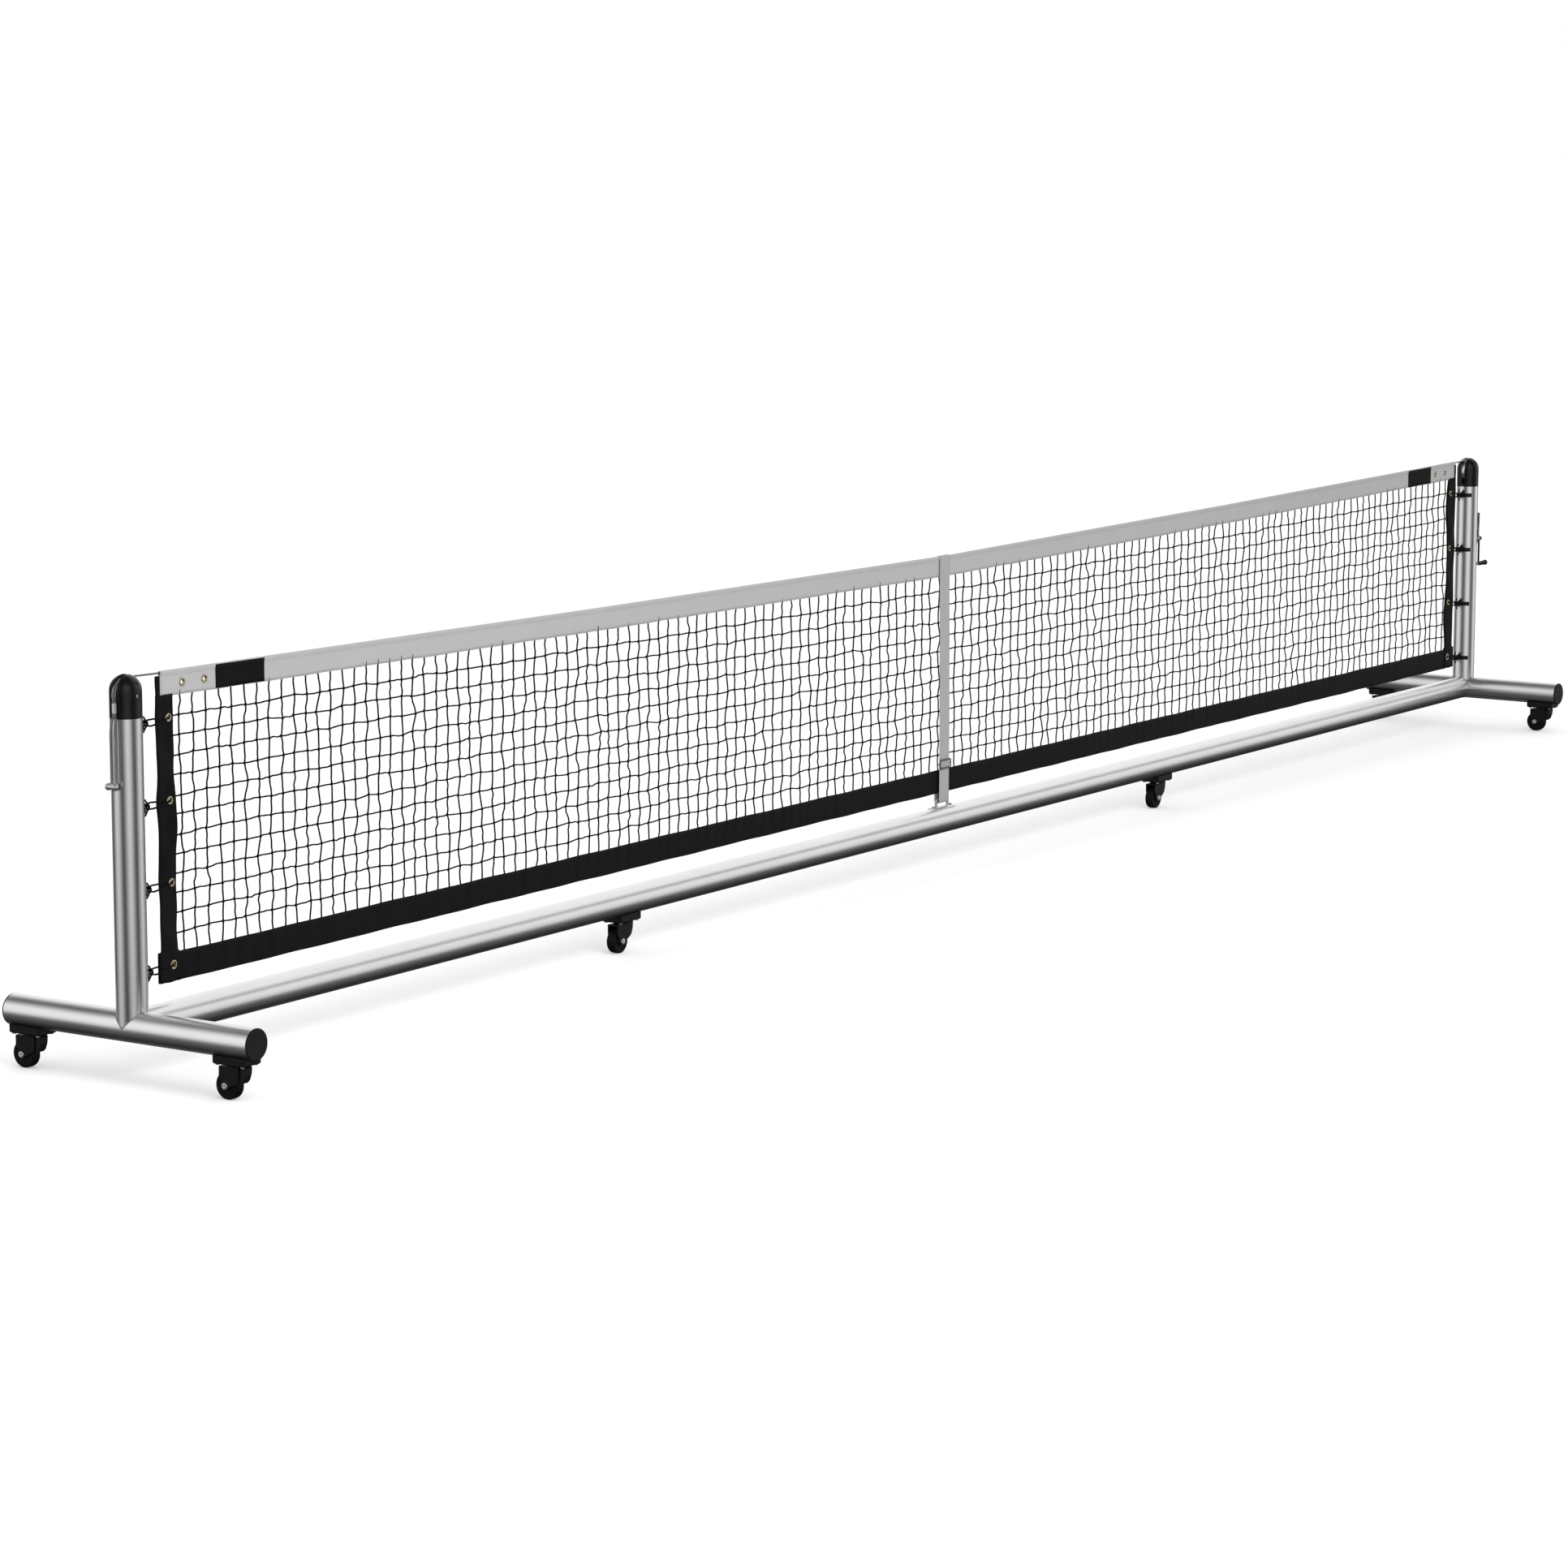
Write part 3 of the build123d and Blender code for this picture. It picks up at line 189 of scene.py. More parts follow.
def make_stage():
    """A white floor, a little brighter where the camera looks at it, and one large soft key light."""
    mesh = bpy.data.meshes.new("floor")
    s = FLOOR_HALF
    mesh.from_pydata([(-s, -s, 0), (s, -s, 0), (s, s, 0), (-s, s, 0)], [], [(0, 1, 2, 3)])
    floor = bpy.data.objects.new("floor", mesh)
    bpy.context.scene.collection.objects.link(floor)
    floor.visible_glossy = False
    paint = bpy.data.materials.new("floor_white")
    paint.use_nodes = True
    t = Tree(paint.node_tree)
    out = t.add("ShaderNodeOutputMaterial")
    paper = t.add("ShaderNodeBsdfDiffuse", {0: (FLOOR_WHITE, FLOOR_WHITE, FLOOR_WHITE, 1)}).outputs[0]
    lift = t.math("MULTIPLY", t.add("ShaderNodeLightPath").outputs["Is Camera Ray"], FLOOR_LIFT)
    glow = t.add("ShaderNodeEmission", {"Strength": lift}).outputs[0]
    t.put(out.inputs[0], t.add("ShaderNodeAddShader", {0: paper, 1: glow}).outputs[0])
    mesh.materials.append(paint)
    data = bpy.data.lights.new("key", "AREA")
    data.shape, data.size, data.energy = "DISK", KEY_SIZE, KEY_WATTS
    key = bpy.data.objects.new("key", data)
    bpy.context.scene.collection.objects.link(key)
    key.location = KEY_AT
    key.rotation_euler = Vector(KEY_AIM).to_track_quat("-Z", "Y").to_euler()
    key.visible_glossy = False
    key.visible_camera = False


# ---------------------------------------------------------------- materials
WHITE, COOL_METAL, COOL_BLACK, COOL_GREY = (1, 1, 1), (0.99, 1.0, 1.01), (1, 1, 1.02), (1, 1, 1.005)


def material(name, make):
    """One kind of surface, painted by make(tree, object coordinates, shader inputs)."""
    m = bpy.data.materials.new(name)
    m.use_nodes = True
    t = Tree(m.node_tree)
    spot = t.add("ShaderNodeTexCoord").outputs["Object"]
    shader = t.add("ShaderNodeBsdfPrincipled")
    out = t.add("ShaderNodeOutputMaterial")
    t.put(out.inputs[0], shader.outputs[0])
    make(t, spot, shader.inputs)
    return m


def waves(t, value, pitch):
    """A sine along value that repeats every pitch metres."""
    return t.math("SINE", t.math("MULTIPLY", value, 2 * math.pi / pitch))


def scaled(t, spot, scale):
    return t.add("ShaderNodeMapping", {"Vector": spot, "Scale": scale}).outputs[0]


def noise(t, vector, scale, detail=3.0, rough=0.5):
    inputs = {"Vector": vector, "Scale": scale, "Detail": detail, "Roughness": rough}
    return t.add("ShaderNodeTexNoise", inputs).outputs[0]


def tinted(level, tint):
    return tuple(level * c for c in tint)


def slanted(t, spot, lean):
    """A coordinate aslant of all three axes, so that ribs across it slant on a cord that lies any way."""
    parts = t.add("ShaderNodeSeparateXYZ", {0: spot}).outputs
    return t.math("ADD", t.math("ADD", parts[0], parts[2]), t.math("MULTIPLY", parts[1], lean))


def spread(t, fac, low, high, tint=WHITE):
    return t.ramp(fac, [(0.3, tinted(low, tint)), (0.7, tinted(high, tint))], smooth=False)


def bump(t, height, distance, strength=1.0, normal=None):
    inputs = {"Height": height, "Distance": distance, "Strength": strength}
    if normal is not None:
        inputs["Normal"] = normal
    return t.add("ShaderNodeBump", inputs).outputs[0]


def brushed(axis, level, low, high):
    """Ground tube: fine lines along the axis and faint cloudiness; low and high bound the roughness."""
    def make(t, spot, s):
        scale = [900.0] * 3
        scale["XYZ".index(axis)] = 6.0
        lines = noise(t, scaled(t, spot, scale), 1.0, 4.0, 0.6)
        cloud = noise(t, spot, 9.0, 4.0)
        both = t.math("ADD", t.math("MULTIPLY", lines, 0.6), t.math("MULTIPLY", cloud, 0.4))
        t.put(s["Base Color"], spread(t, both, level - 0.07, level + 0.04, COOL_METAL))
        t.put(s["Roughness"], t.mix(both, low, high))
        s["Metallic"].default_value = 1.0
        t.put(s["Normal"], bump(t, lines, 0.00004, 0.5))
    return make


def metal(level, rough, tint=WHITE, grain=160.0):
    """Plated, cast or drawn metal: fine grain and faint cloudiness."""
    def make(t, spot, s):
        fine = noise(t, spot, grain, 5.0, 0.6)
        cloud = noise(t, spot, grain / 9, 3.0)
        t.put(s["Base Color"], spread(t, cloud, level * 0.9, level * 1.06, tint))
        t.put(s["Roughness"], t.mix(fine, rough * 0.75, rough * 1.35))
        s["Metallic"].default_value = 1.0
        t.put(s["Normal"], bump(t, fine, 0.00008, 0.5))
    return make


def turned(cx, cz):
    """Lathe rings round the pulley's axis."""
    def make(t, spot, s):
        parts = t.add("ShaderNodeSeparateXYZ", {0: spot}).outputs
        dx = t.math("SUBTRACT", parts[0], cx)
        dz = t.math("SUBTRACT", parts[2], cz)
        r = t.math("SQRT", t.math("ADD", t.math("MULTIPLY", dx, dx), t.math("MULTIPLY", dz, dz)))
        rings = t.math("SINE", t.math("MULTIPLY", r, 9000.0))  # 0.7 mm apart
        fine = noise(t, spot, 220.0)
        t.put(s["Base Color"], spread(t, fine, 0.62, 0.8))
        t.put(s["Roughness"], t.mix(fine, 0.2, 0.36))
        s["Metallic"].default_value = 1.0
        t.put(s["Normal"], bump(t, rings, 0.00003, 0.5))
    return make


def moulded(level, rough, grain, depth, shine=0.22):
    """Moulded plastic or paint: fine texture and faint cloudiness."""
    def make(t, spot, s):
        fine = noise(t, spot, grain, 3.0)
        cloud = noise(t, spot, 34.0, 5.0, 0.65)
        t.put(s["Base Color"], spread(t, cloud, level * 0.7, level * 1.5, COOL_BLACK))
        t.put(s["Roughness"], t.mix(cloud, rough * 0.85, rough * 1.2))
        s["Specular IOR Level"].default_value = shine
        t.put(s["Normal"], bump(t, fine, depth, 0.6))
    return make


def woven(
    level, rough, pitch, depth, tint, contrast, cross=1.0, sheen=0.0, shine=0.35, streaks=(1.0, 1.0, 2.5)
):
    """Cloth: warp and weft of that pitch in the XZ plane (the warp cross times as fine), patches of tone."""
    def make(t, spot, s):
        parts = t.add("ShaderNodeSeparateXYZ", {0: spot}).outputs
        weave = t.math("MULTIPLY", waves(t, parts[0], pitch / cross), waves(t, parts[2], pitch))
        tone = noise(t, scaled(t, spot, streaks), 7.0, 5.0, 0.6)
        fleck = noise(t, spot, 420.0, 2.0)
        both = t.math("ADD", t.math("MULTIPLY", tone, 0.7), t.math("MULTIPLY", fleck, 0.3))
        t.put(s["Base Color"], spread(t, both, level * (1 - contrast), level * (1 + contrast), tint))
        t.put(s["Roughness"], t.mix(tone, rough * 0.9, rough * 1.1))
        s["Sheen Weight"].default_value = sheen
        s["Specular IOR Level"].default_value = shine
        soft = noise(t, scaled(t, spot, (1.0, 1.0, 0.5)), 26.0, 3.0)
        wrinkle = bump(t, soft, 0.0012, 0.35)
        t.put(s["Normal"], bump(t, weave, depth, 0.5, wrinkle))
    return make


def corded(level, pitch, rough):
    """Twisted or braided cord: fine slanting ribs."""
    def make(t, spot, s):
        ribs = waves(t, slanted(t, spot, 1.7), pitch)
        fleck = noise(t, spot, 300.0, 3.0)
        t.put(s["Base Color"], spread(t, fleck, level * 0.75, level * 1.5))
        s["Roughness"].default_value = rough
        s["Specular IOR Level"].default_value = 0.12
        t.put(s["Normal"], bump(t, ribs, 0.0003, 0.6))
    return make


def wire_rope(t, spot, s):
    """Steel rope: slanting strands, with painted shade darkening the gaps between them."""
    ribs = waves(t, slanted(t, spot, 2.6), 0.0035)
    # painted shade: the colour falls from 0.72 on the strands to 0.3 in the gaps between them
    t.put(s["Base Color"], t.ramp(t.math("MULTIPLY_ADD", ribs, 0.5, 0.5), [(0.0, 0.3), (0.6, 0.72)]))
    s["Roughness"].default_value = 0.34
    s["Metallic"].default_value = 1.0
    t.put(s["Normal"], bump(t, ribs, 0.0005, 0.9))


# ---------------------------------------------------------------- mesh helpers
def new_object(name, verts, faces, mat, smooth=True):
    mesh = bpy.data.meshes.new(name)
    mesh.from_pydata([tuple(v) for v in verts], [], [tuple(int(i) for i in f) for f in faces])
    mesh.update()
    if smooth:
        mesh.polygons.foreach_set("use_smooth", [True] * len(mesh.polygons))
    obj = bpy.data.objects.new(name, mesh)
    bpy.context.scene.collection.objects.link(obj)
    mesh.materials.append(mat)
    return obj


def skin(rings, sides, closed):
    """Faces over rings of points: quads between neighbours, and a cap at each end unless the rings close."""
    faces = []
    for i in range(rings if closed else rings - 1):
        j = (i + 1) % rings
        for k in range(sides):
            m = (k + 1) % sides
            faces.append((i * sides + k, i * sides + m, j * sides + m, j * sides + k))
    if not closed:
        faces.append(tuple(range(sides))[::-1])
        faces.append(tuple((rings - 1) * sides + k for k in range(sides)))
    return faces


class Soup:
    """Collects pieces of mesh that end up in one object."""

    def __init__(self):
        self.verts, self.faces, self.count = [], [], 0

    def add(self, verts, faces):
        verts = np.asarray(verts, float)
        self.verts.append(verts)
        self.faces += [tuple(i + self.count for i in f) for f in faces]
        self.count += len(verts)

    def tube(self, line, radius, sides=6, closed=False):
        """A round tube along a line; the radius may differ from point to point."""
        line = np.asarray(line, float)
        radius = np.broadcast_to(np.asarray(radius, float), (len(line),))
        ahead = np.roll(line, -1, 0) - np.roll(line, 1, 0) if closed else np.gradient(line, axis=0)
        ahead /= np.linalg.norm(ahead, axis=1)[:, None] + 1e-12
        up = np.array([0, 0, 1.0]) if abs(ahead[0][2]) < 0.9 else np.array([0, 1.0, 0])
        turn = np.arange(sides) * 2 * math.pi / sides
        rings = []
        side = np.cross(ahead[0], up)
        for p, a, r in zip(line, ahead, radius):
            side = side - a * (side @ a)
            side /= np.linalg.norm(side) + 1e-12
            other = np.cross(a, side)
            rings.append(p + r * (np.cos(turn)[:, None] * side + np.sin(turn)[:, None] * other))
        self.add(np.concatenate(rings), skin(len(line), sides, closed))

    def lathe(self, centre, axis, profile, sides=32, closed=False):
        """profile is (distance along the axis, radius) from one end to the other."""
        axis = np.asarray(axis, float)
        up = np.array([0, 0, 1.0]) if abs(axis[2]) < 0.9 else np.array([1.0, 0, 0])
        side = np.cross(axis, up)
        side /= np.linalg.norm(side)
        other = np.cross(axis, side)
        turn = np.arange(sides) * 2 * math.pi / sides
        around = np.cos(turn)[:, None] * side + np.sin(turn)[:, None] * other
        rings = [np.asarray(centre) + a * axis + r * around for a, r in profile]
        self.add(np.concatenate(rings), skin(len(rings), sides, closed))

    def object(self, name, mat, smooth=True):
        return new_object(name, np.concatenate(self.verts), self.faces, mat, smooth)


def grid_faces(rows, columns):
    return [
        (i * columns + j, i * columns + j + 1, (i + 1) * columns + j + 1, (i + 1) * columns + j)
        for i in range(rows - 1) for j in range(columns - 1)
    ]


def cloth(name, points, mat, thick, holes=()):
    """A sheet through a grid of points, with thickness and round holes (x, z, radius)."""
    rows, columns = points.shape[:2]
    obj = new_object(name, points.reshape(-1, 3), grid_faces(rows, columns), mat)
    solid = obj.modifiers.new("thick", "SOLIDIFY")
    solid.thickness, solid.offset = thick, 0.0
    if holes:
        punch = 0.02
        soup = Soup()
        for x, z, r in holes:
            soup.lathe((x, 0, z), (0, 1, 0), [(-punch, r), (punch, r)], 24)
        cutter = soup.object(name + "_cutter", mat, False)
        cut = obj.modifiers.new("holes", "BOOLEAN")
        cut.operation, cut.object, cut.solver = "DIFFERENCE", cutter, "EXACT"
    bpy.context.view_layer.update()
    graph = bpy.context.evaluated_depsgraph_get()
    made = bpy.data.meshes.new_from_object(obj.evaluated_get(graph))
    old = obj.data
    obj.modifiers.clear()
    obj.data = made
    bpy.data.meshes.remove(old)
    if holes:
        bpy.data.objects.remove(cutter)
    return obj


def folded(profile):
    """A folded tape's section: its front half as given, then the same mirrored to the back."""
    return profile + [(-y, z) for y, z in reversed(profile[:-1])]


def sway(x, size, *waves_of):
    """A smooth wobble along x: a few sines of unlike length, each given as (rate, phase)."""
    return size * sum(math.sin(x * k + p) for k, p in waves_of) / len(waves_of)


def smooth_line(points, steps, closed):
    """Catmull-Rom line through points."""
    p = np.asarray(points, float)
    n = len(p)
    out = []
    for i in range(n if closed else n - 1):
        a = p[(i - 1) % n] if closed or i > 0 else 2 * p[0] - p[1]
        b, c = p[i % n], p[(i + 1) % n]
        d = p[(i + 2) % n] if closed or i + 2 < n else 2 * p[-1] - p[-2]
        for k in range(steps):
            t = k / steps
            square, cube = 2 * a - 5 * b + 4 * c - d, 3 * b - a - 3 * c + d
            out.append(0.5 * (2 * b + (c - a) * t + square * t * t + cube * t ** 3))
    if not closed:
        out.append(p[-1])
    return np.array(out)


def ride(obj, body, slot, *nodes):
    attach(obj, body)
    if nodes:
        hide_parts(*nodes)
    return obj


# ---------------------------------------------------------------- mesh of the net
KNOT = [(-0.0038, 0.0010), (-0.0027, 0.0028), (0.0, 0.0034), (0.0027, 0.0028), (0.0038, 0.0010)]
KNOT_JITTER = (0.0026, 0.0018, 0.0016)
UPRIGHT_SLACK, LEVEL_SLACK = (0.0011, 0.0009, 0.0003), (0.0003, 0.0009, 0.0008)
TUCK = 0.012  # how far the upright cords run into the tapes above and below
END_RUN = 0.029  # the same for the level cords and the side tapes
LEVEL_Y = 0.0012  # the level cords lie this far behind the upright ones


def net_knots():
    """Where the mesh's knots are, by column and row, each a little out of true."""
    columns = int(round(2 * FIRST_CORD / PITCH)) + 1
    knot = np.zeros((columns, MESH_ROWS + 1, 3))
    for i, x in enumerate(np.linspace(-FIRST_CORD, FIRST_CORD, columns)):
        knot[i, :, 0] = x
        knot[i, :, 2] = np.linspace(BOTTOM_HIGH, net_top(x) - HEADBAND_H, MESH_ROWS + 1)
    loose = np.ones((columns, MESH_ROWS + 1, 1))
    loose[:, [0, -1]] = 0.25
    jitter = RNG.normal(0, 1, knot.shape) * np.array(KNOT_JITTER)
    zigzag = ((np.arange(columns)[:, None] + np.arange(MESH_ROWS + 1)[None, :]) % 2 * 2 - 1) * 0.0011
    jitter[:, :, 0] += zigzag
    return knot + jitter * loose


def slack_cord(a, b, slack):
    """Knot a and two points on the way to knot b, a little off the straight line."""
    bow = RNG.normal(0, 1, (2, 3)) * slack
    return [a, a + (b - a) * 0.33 + bow[0], a + (b - a) * 0.67 + bow[1]]


def make_mesh(mat):
    """Knotted square mesh: every cord is a wobbling tube through its knots."""
    knot = net_knots()
    bounds = [round(k * (len(knot) - 1) / MESH_PARTS) for k in range(MESH_PARTS + 1)]
    for part, (lo, hi) in enumerate(zip(bounds, bounds[1:])):
        last = part == MESH_PARTS - 1
        columns = range(lo, hi + last)
        soup = Soup()
        for i in columns:
            line = [knot[i, 0] - (0, 0, TUCK)]
            for j in range(MESH_ROWS):
                line += slack_cord(knot[i, j], knot[i, j + 1], UPRIGHT_SLACK)
            line += [knot[i, MESH_ROWS], knot[i, MESH_ROWS] + (0, 0, TUCK)]
            soup.tube(line, CORD_R, 6)
        for j in range(1, MESH_ROWS):
            line = [knot[lo, j] - (END_RUN, LEVEL_Y, 0)] if part == 0 else []
            for i in range(lo, hi):
                line += slack_cord(knot[i, j], knot[i + 1, j], LEVEL_SLACK)
            line.append(knot[hi, j])
            if last:
                line.append(knot[hi, j] + (END_RUN, -LEVEL_Y, 0))
            soup.tube(np.array(line) + (0, LEVEL_Y, 0), CORD_R, 6)
        for i in columns:
            for j in range(1, MESH_ROWS):
                lean = 0.15 if (i + j) % 2 else -0.15
                soup.lathe(knot[i, j] + (0, LEVEL_Y / 2, 0), (lean, 0, 1.0), KNOT, 6)
        obj = soup.object(f"net_cords_{part + 1}", mat)
        obj.visible_glossy = False  # the tubes mirror the studio's lights only
        ride(obj, "frame", "mesh_cord", *(["net_mesh"] if part == 0 else []))


# ---------------------------------------------------------------- tapes
def headband_lift(x, low):
    """How the headband rises and falls, from nothing at its upper edge (low 0) to most at its hem (low 1)."""
    return sway(x, 0.0009, (9.1, 0.3), (23.0, 1.9), (41.0, 0.8)) * low


def headband_belly(x, low):
    """How the headband sways forwards and back."""
    return sway(x, 0.0011 * low, (15.3, 0.4 + 2 * low), (37.0, 2.2), (6.2, 4.0))


def head_grommets(side):
    """(x, z) of the two grommets near one end of the headband."""
    places = [side * (POST_X - reach) for reach in HEAD_GROMMET_REACHES]
    return [(x, net_top(x) - HEAD_GROMMET_DROP) for x in places]


def make_headband(mat):
    """Tape folded over the cable: one sheet, up the front, round the cable and down the back."""
    fold = 0.0039  # its radius round the cable
    front = [
        (-1.6, -58.0), (-1.75, -50.0), (-1.9, -38.0), (-1.9, -26.0),
        (-1.7, -14.0), (-1.9, -10.2), (-3.1, -6.6),
    ]
    front = [(y / 1000, z / 1000) for y, z in front]
    front += [(-fold * math.cos(a), -fold + fold * math.sin(a)) for a in np.linspace(0.1, math.pi / 2, 5)]
    profile = folded(front)
    columns = 400
    points = np.zeros((len(profile), columns + 1, 3))
    for j, x in enumerate(np.linspace(-HEADBAND_END, HEADBAND_END, columns + 1)):
        top = net_top(x)
        for i, (y, z) in enumerate(profile):
            low = min(1.0, -z / HEADBAND_H)
            points[i, j] = (x, y + headband_belly(x, low), top + z + headband_lift(x, low))
    holes = [(x, z, HOLE_R) for side in (-1, 1) for x, z in head_grommets(side)]
    obj = cloth("headband_tape", points, mat, TAPE_THICK, holes)
    ride(obj, "frame", "headband_vinyl", "headband")


def bottom_wave(x, up):
    """How the bottom tape sways forwards and back; up is 0 at its lower edge and 1 at its upper one."""
    return sway(x, 0.0012, (12.0, 0.7 + up), (29.0, 1.1), (5.0, 2.0 * up)) * 0.7


def bottom_lift(x):
    """How the bottom tape rises and falls."""
    return sway(x, 0.0008, (17.0, 0.2), (33.0, 2.6))


def make_bottom_band(mat):
    """Black tape folded up round the mesh's foot, pressed against its cords so that they show as ridges."""
    low, high = BOTTOM_LOW, BOTTOM_HIGH
    profile = folded([
        (-1.5, high), (-1.75, high - 0.008), (-1.8, (low + high) / 2),
        (-1.8, low + 0.008), (-1.5, low + 0.0016), (0.0, low),
    ])
    edge = POST_X - 0.148
    columns = 590
    ridge_high, ridge_wide = 0.0010, 0.0045
    points = np.zeros((len(profile), columns + 1, 3))
    for j, x in enumerate(np.linspace(-edge, edge, columns + 1)):
        cords = (x + FIRST_CORD) / PITCH
        near = abs(cords - round(cords)) * PITCH
        ridge = ridge_high * math.exp(-((near / ridge_wide) ** 2))
        for i, (y, z) in enumerate(profile):
            up = (z - low) / (high - low)
            face = -1 if y < 0 else 1
            out = y / 1000 + face * ridge * (0.3 + 0.7 * up)
            points[i, j] = (x, out + bottom_wave(x, up), z + bottom_lift(x))
    obj = cloth("bottom_tape", points, mat, TAPE_THICK)
    obj.visible_glossy = False  # the tubes mirror the studio's lights only
    ride(obj, "frame", "black_vinyl", "bottom_band")


def side_edges(z):
    """Reaches of the side tape's two edges: it leans a little, and each tie pulls its outer edge out."""
    up = (z - BOTTOM_LOW) / (0.856 - BOTTOM_LOW)
    pull = sum(math.exp(-(((z - tie) / 0.034) ** 2)) for tie in TIE_Z)
    outer = 0.1022 - 0.0020 * up - 0.0042 * pull + 0.0009 * math.sin(z * 47.0 + 1.0)
    inner = 0.1560 + 0.0020 * math.sin(z * 34.0 + 0.9) + 0.0008 * math.sin(z * 71.0)
    return outer, inner


def side_wave(z, s):
    """The side tape bellies between its grommets and its inner edge curls; s runs from the inner edge out."""
    belly = 0.0022 * math.sin(z * 33.7 + 0.9) + 0.0011 * math.sin(z * 61.0)
    return belly * math.sin(math.pi * s) + 0.0034 * (1 - s) ** 3 * math.sin(z * 16.8 + 1.4)


def make_side_tape(side, word, top, mat):
    """Tape folded round the mesh's end, with a hole at every tie."""
    rows, across, half = 66, 9, 0.0017
    points = np.zeros((2 * across + 1, rows, 3))
    for j, z in enumerate(np.linspace(BOTTOM_LOW + 0.001, top, rows)):
        outer, inner = side_edges(z)
        for i in range(across):
            s = i / (across - 1)
            x = side * (POST_X - (inner + (outer - inner) * s))
            wave = side_wave(z, s)
            points[i, j] = (x, -half + wave, z)
            points[2 * across - i, j] = (x, half + wave, z)
        points[across, j] = (side * (POST_X - outer + 0.0009), 0.0, z)
    holes = [(side * (POST_X - SIDE_GROMMET_REACH), z, HOLE_R) for z in TIE_Z]
    obj = cloth(f"side_tape_{word}", points, mat, TAPE_THICK, holes)
    ride(obj, "frame", "black_vinyl", *(["side_bands"] if side < 0 else []))
    return obj


def make_tongue(side, word, top, mat):
    """The strip of side tape that shows past the headband's end."""
    rows = 12
    points = np.zeros((2, rows, 3))
    for j, z in enumerate(np.linspace(top - 0.002, 0.904, rows)):
        wave = 0.0008 * math.sin(z * 70.0)
        points[0, j] = (side * (POST_X - 0.1115), wave, z)
        points[1, j] = (side * (POST_X - 0.0985 - 0.0008 * math.sin(z * 90.0)), wave * 0.5, z)
    flap = cloth(f"side_tongue_{word}", points, mat, 0.0028)
    ride(flap, "frame", "black_vinyl")


def make_corner(side, word, face, y, mat):
    """The square of cloth that doubles a bottom corner."""
    points = np.zeros((8, 9, 3))
    for i, s in enumerate(np.arange(8) / 7):
        for j, u in enumerate(np.arange(9) / 8):
            x = side * (POST_X - (CORNER_REACH + CORNER_W * s))
            z = BOTTOM_LOW + 0.0005 + CORNER_H * u
            puff = 0.0006 * math.sin(math.pi * s) * math.sin(math.pi * u)
            points[i, j] = (x, y * (1 + puff / 0.003), z + 0.0008 * math.sin(9 * s))
    hole = [(side * (POST_X - SIDE_GROMMET_REACH), TIE_Z[0], HOLE_R)]
    pad = cloth(f"corner_{face}_{word}", points, mat, 0.0008, hole)
    ride(pad, "frame", "black_vinyl")


def make_side_bands(mat):
    for side, word in SIDES:
        top = net_top(POST_X - 0.13) - HEADBAND_H + 0.004
        tape = make_side_tape(side, word, top, mat)
        make_tongue(side, word, top, mat)
        make_corner(side, word, "front", -CORNER_Y, mat)
        make_corner(side, word, "back", CORNER_Y, mat)


def patch_wave(x):
    return sway(x, 0.0006, (15.3, 1.4), (37.0, 2.2))


def make_patches(mat):
    """Blank cloth patches on the headband, slightly proud of it and swelling with it over the cable."""
    for side, word in SIDES:
        for face, y in (("front", -1), ("back", 1)):
            points = np.zeros((24, 8, 3))
            for i, s in enumerate(np.arange(24) / 23):
                for j, u in enumerate(np.arange(8) / 7):
                    x = side * (POST_X - PATCH_REACH - PATCH_W * s)
                    z = net_top(x) - PATCH_DROP + PATCH_H * u
                    out = 0.0032 + 0.0005 * math.sin(math.pi * s) * math.sin(math.pi * u)
                    out += 0.0014 * max(0.0, u - 0.72) / 0.28
                    points[i, j] = (x, y * out + patch_wave(x), z)
            obj = cloth(f"patch_{face}_{word}", points, mat, 0.0007)
            first = side < 0 and face == "front"
            ride(obj, "frame", "black_vinyl", *(["headband_patches"] if first else []))


# ---------------------------------------------------------------- thread and grommets
def dash(soup, a, b):
    """One stitch from a to b, bulging away from the tape."""
    a, b = np.array(a), np.array(b)
    m = (a + b) / 2
    out = np.array([0, math.copysign(0.00022, m[1]), 0])
    soup.tube([a, m + out, b], [THREAD_R * 0.5, THREAD_R, THREAD_R * 0.5], 4)


def level_dash(soup, x, y, z, way=1):
    """One stitch along x."""
    dash(soup, (x, y, z), (x + way * STITCH_LONG, y, z))


def upright_dash(soup, x, y, z):
    """One stitch along z."""
    dash(soup, (x, y, z), (x, y, z + STITCH_LONG))


